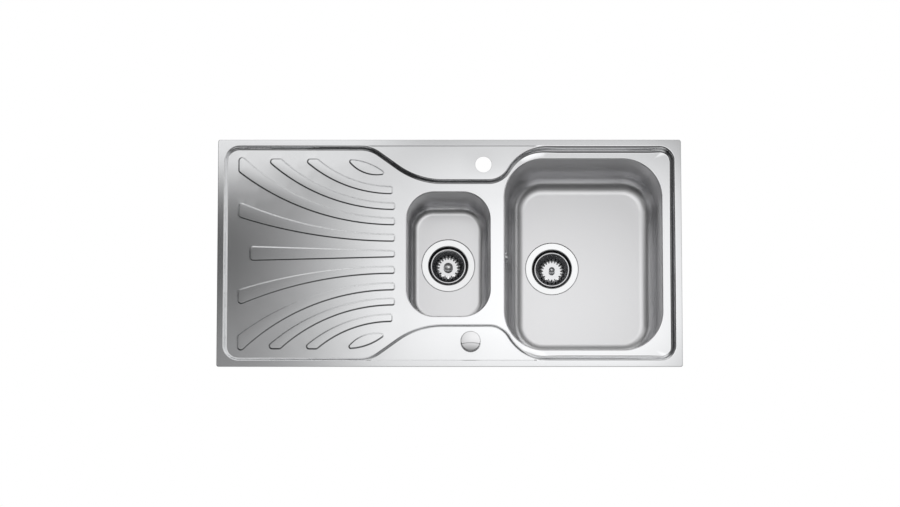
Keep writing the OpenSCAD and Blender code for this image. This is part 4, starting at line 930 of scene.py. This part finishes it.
def stage_look():
    """White for the camera and in reflections, plain white paint for diffuse light, and unseen from below."""
    look = bpy.data.materials.new("stage")
    look.use_nodes = True
    nodes, links = look.node_tree.nodes, look.node_tree.links
    nodes.clear()
    out = nodes.new("ShaderNodeOutputMaterial")
    rays = nodes.new("ShaderNodeLightPath")
    white = nodes.new("ShaderNodeEmission")
    paint = nodes.new("ShaderNodeBsdfDiffuse")
    paint.inputs["Color"].default_value = (0.9, 0.9, 0.9, 1)
    clear = nodes.new("ShaderNodeBsdfTransparent")
    behind = nodes.new("ShaderNodeNewGeometry")
    last = rays.outputs["Is Camera Ray"]
    for other in ("Is Glossy Ray", "Is Transmission Ray"):
        either = nodes.new("ShaderNodeMath")
        either.operation = "MAXIMUM"
        links.new(last, either.inputs[0])
        links.new(rays.outputs[other], either.inputs[1])
        last = either.outputs[0]
    shown = nodes.new("ShaderNodeMixShader")
    links.new(last, shown.inputs["Fac"])
    links.new(paint.outputs["BSDF"], shown.inputs[1])
    links.new(white.outputs["Emission"], shown.inputs[2])
    mix = nodes.new("ShaderNodeMixShader")
    links.new(behind.outputs["Backfacing"], mix.inputs["Fac"])
    links.new(shown.outputs["Shader"], mix.inputs[1])
    links.new(clear.outputs["BSDF"], mix.inputs[2])
    links.new(mix.outputs["Shader"], out.inputs["Surface"])
    return look


def build_stage():
    """A round floor that curves up into a wall, just below the lowest waste."""
    reach, cove, wall, gap = 12000.0, 3000.0, 9000.0, 10
    level = box("main_waste_body")[0][2] - gap
    shape = Shape()
    section, normals = path([(0, level), (reach, level, cove), (reach, level + wall)], closed=False, steps=12)
    shape.lathe(section, normals)
    stage = shape.object("stage", stage_look(), "sink")


def glow_look():
    """Shines with the tone that each point of a reflected card was given."""
    look = bpy.data.materials.new("reflected_card")
    look.use_nodes = True
    nodes, links = look.node_tree.nodes, look.node_tree.links
    nodes.clear()
    out = nodes.new("ShaderNodeOutputMaterial")
    shine = nodes.new("ShaderNodeEmission")
    tone = nodes.new("ShaderNodeAttribute")
    tone.attribute_name = "tone"
    links.new(tone.outputs["Color"], shine.inputs["Color"])
    links.new(shine.outputs["Emission"], out.inputs["Surface"])
    return look


def card(name, rows, tones, look):
    """A card that only shows in the steel, as in a photographer's studio. rows are points in metres."""
    mesh = new_mesh(name, rows.reshape(-1, 3), quads(*rows.shape[:2], closed=False), look)
    colors = mesh.color_attributes.new("tone", "FLOAT_COLOR", "POINT")
    flat = np.ones((tones.size, 4))
    flat[:, :3] = tones.reshape(-1, 1)
    colors.data.foreach_set("color", flat.ravel())
    obj = bpy.data.objects.new(name, mesh)
    obj.visible_camera = obj.visible_diffuse = obj.visible_shadow = False
    bpy.context.scene.collection.objects.link(obj)


def build_cards():
    """The studio that the steel mirrors: a graded ceiling over a ring of grey, dark and bright cards."""
    look = glow_look()
    height, reach = 1.3, 2.2
    grid = np.linspace(-reach, reach, 89)
    x, y = np.meshgrid(grid, grid)
    over = np.interp(x, (-1.2, -0.62, -0.45, -0.36, -0.26, -0.12, 0.1, 0.5, 0.56, 0.7, 1.4),
                     (0, 0, 0.1, 0.22, 0.48, 1.02, 1.24, 1.25, 0.9, 0.5, 0.05))
    over *= np.interp(y, (-1.2, -0.5, -0.3, -0.1, 0, 0.08, 0.3, 0.42, 0.5, 0.56, 0.7, 1.3),
                      (0.05, 0.1, 0.3, 0.6, 0.84, 1.08, 1, 0.92, 0.74, 0.5, 0.3, 0.1))
    back_left = 1.15 * smooth(0.4, 0.53, y) * (1 - 0.5 * smooth(0.54, 0.72, y)) \
        * (1 - 0.7 * smooth(0.72, 1.2, y)) * (1 - smooth(-0.25, 0.1, x)) * smooth(-1.3, -0.6, x)
    front_left = 0.25 * (1 - smooth(-0.05, 0.3, y)) * smooth(-0.8, -0.2, y) * (1 - smooth(-0.3, 0, x))
    dimmest = 0.055
    card("ceiling_card", np.stack([x, y, np.full(x.shape, height)], 2),
         dimmest + np.maximum(over, back_left) + front_left, look)
    turn, up = np.meshgrid(np.radians(np.arange(-180, 181, 3)), np.linspace(-0.3, height, 17))
    degrees = np.degrees(turn)
    low = np.interp(
        degrees,
        (-180, -135, -122, -112, -90, -68, -50, -40, 0, 45, 66, 74, 86, 93, 108, 122, 135, 180),
        (0.25, 0.02, 0.03, 0.7, 0.9, 0.6, 0.08, 0.08, 1.0, 1.1, 1.1, 0.2, 0.2, 1.1, 1.1, 0.2, 0.12, 0.25))
    high = np.interp(degrees, (-180, -150, -112, -90, -68, -45, 0, 45, 75, 90, 105, 125, 180),
                     (0.03, 0.02, 0.02, 0.06, 0.1, 0.2, 0.7, 1.3, 1.3, 1.3, 1.1, 0.15, 0.03))
    share = smooth(0.15, 0.7, up)
    ring_points = np.stack([reach * np.cos(turn), reach * np.sin(turn), up], 2)
    card("ring_card", ring_points, low * (1 - share) + high * share, look)


def build_key():
    """A soft light overhead for the plain materials; the steel mirrors the cards instead."""
    size, radiance = 2.0, 1.6
    light = bpy.data.lights.new("key", "AREA")
    light.shape = "RECTANGLE"
    light.size = light.size_y = size
    light.energy = radiance * math.pi * size * size
    obj = bpy.data.objects.new("key", light)
    obj.location = (0.1, 0.3, 2.2)
    obj.rotation_euler = (-obj.location).to_track_quat("-Z", "Y").to_euler()
    obj.visible_camera = obj.visible_glossy = False
    bpy.context.scene.collection.objects.link(obj)


def build_world():
    """Soft surroundings: darker low down, lighter overhead."""
    world = bpy.data.worlds.new("surroundings")
    bpy.context.scene.world = world
    world.use_nodes = True
    nodes, links = world.node_tree.nodes, world.node_tree.links
    coords = nodes.new("ShaderNodeTexCoord")
    split = nodes.new("ShaderNodeSeparateXYZ")
    ramp = nodes.new("ShaderNodeValToRGB")
    links.new(coords.outputs["Generated"], split.inputs["Vector"])
    links.new(split.outputs["Z"], ramp.inputs["Fac"])
    links.new(ramp.outputs["Color"], nodes["Background"].inputs["Color"])
    ramp.color_ramp.elements[0].color = (0.10, 0.10, 0.105, 1)
    ramp.color_ramp.elements[1].color = (0.24, 0.24, 0.25, 1)


def build_camera():
    """The photograph's view: far away, a little in front of the vertical. photo_width is in metres."""
    distance, elevation, photo_width, sensor = 12.0, math.radians(77.8), 1.9365, 36
    aim = Vector((0.0008, -0.0012, 0))
    camera = bpy.data.cameras.new("photo")
    camera.sensor_width = sensor
    camera.lens = sensor * distance / photo_width
    camera.clip_end = 100
    obj = bpy.data.objects.new("photo", camera)
    obj.location = aim + distance * Vector((0, -math.cos(elevation), math.sin(elevation)))
    obj.rotation_euler = (math.pi / 2 - elevation, 0, 0)
    bpy.context.scene.collection.objects.link(obj)
    bpy.context.scene.camera = obj


build_stage()
build_world()
build_key()
build_cards()
build_camera()
scene = bpy.context.scene
scene.view_settings.view_transform = "Standard"
scene.view_settings.look = "None"
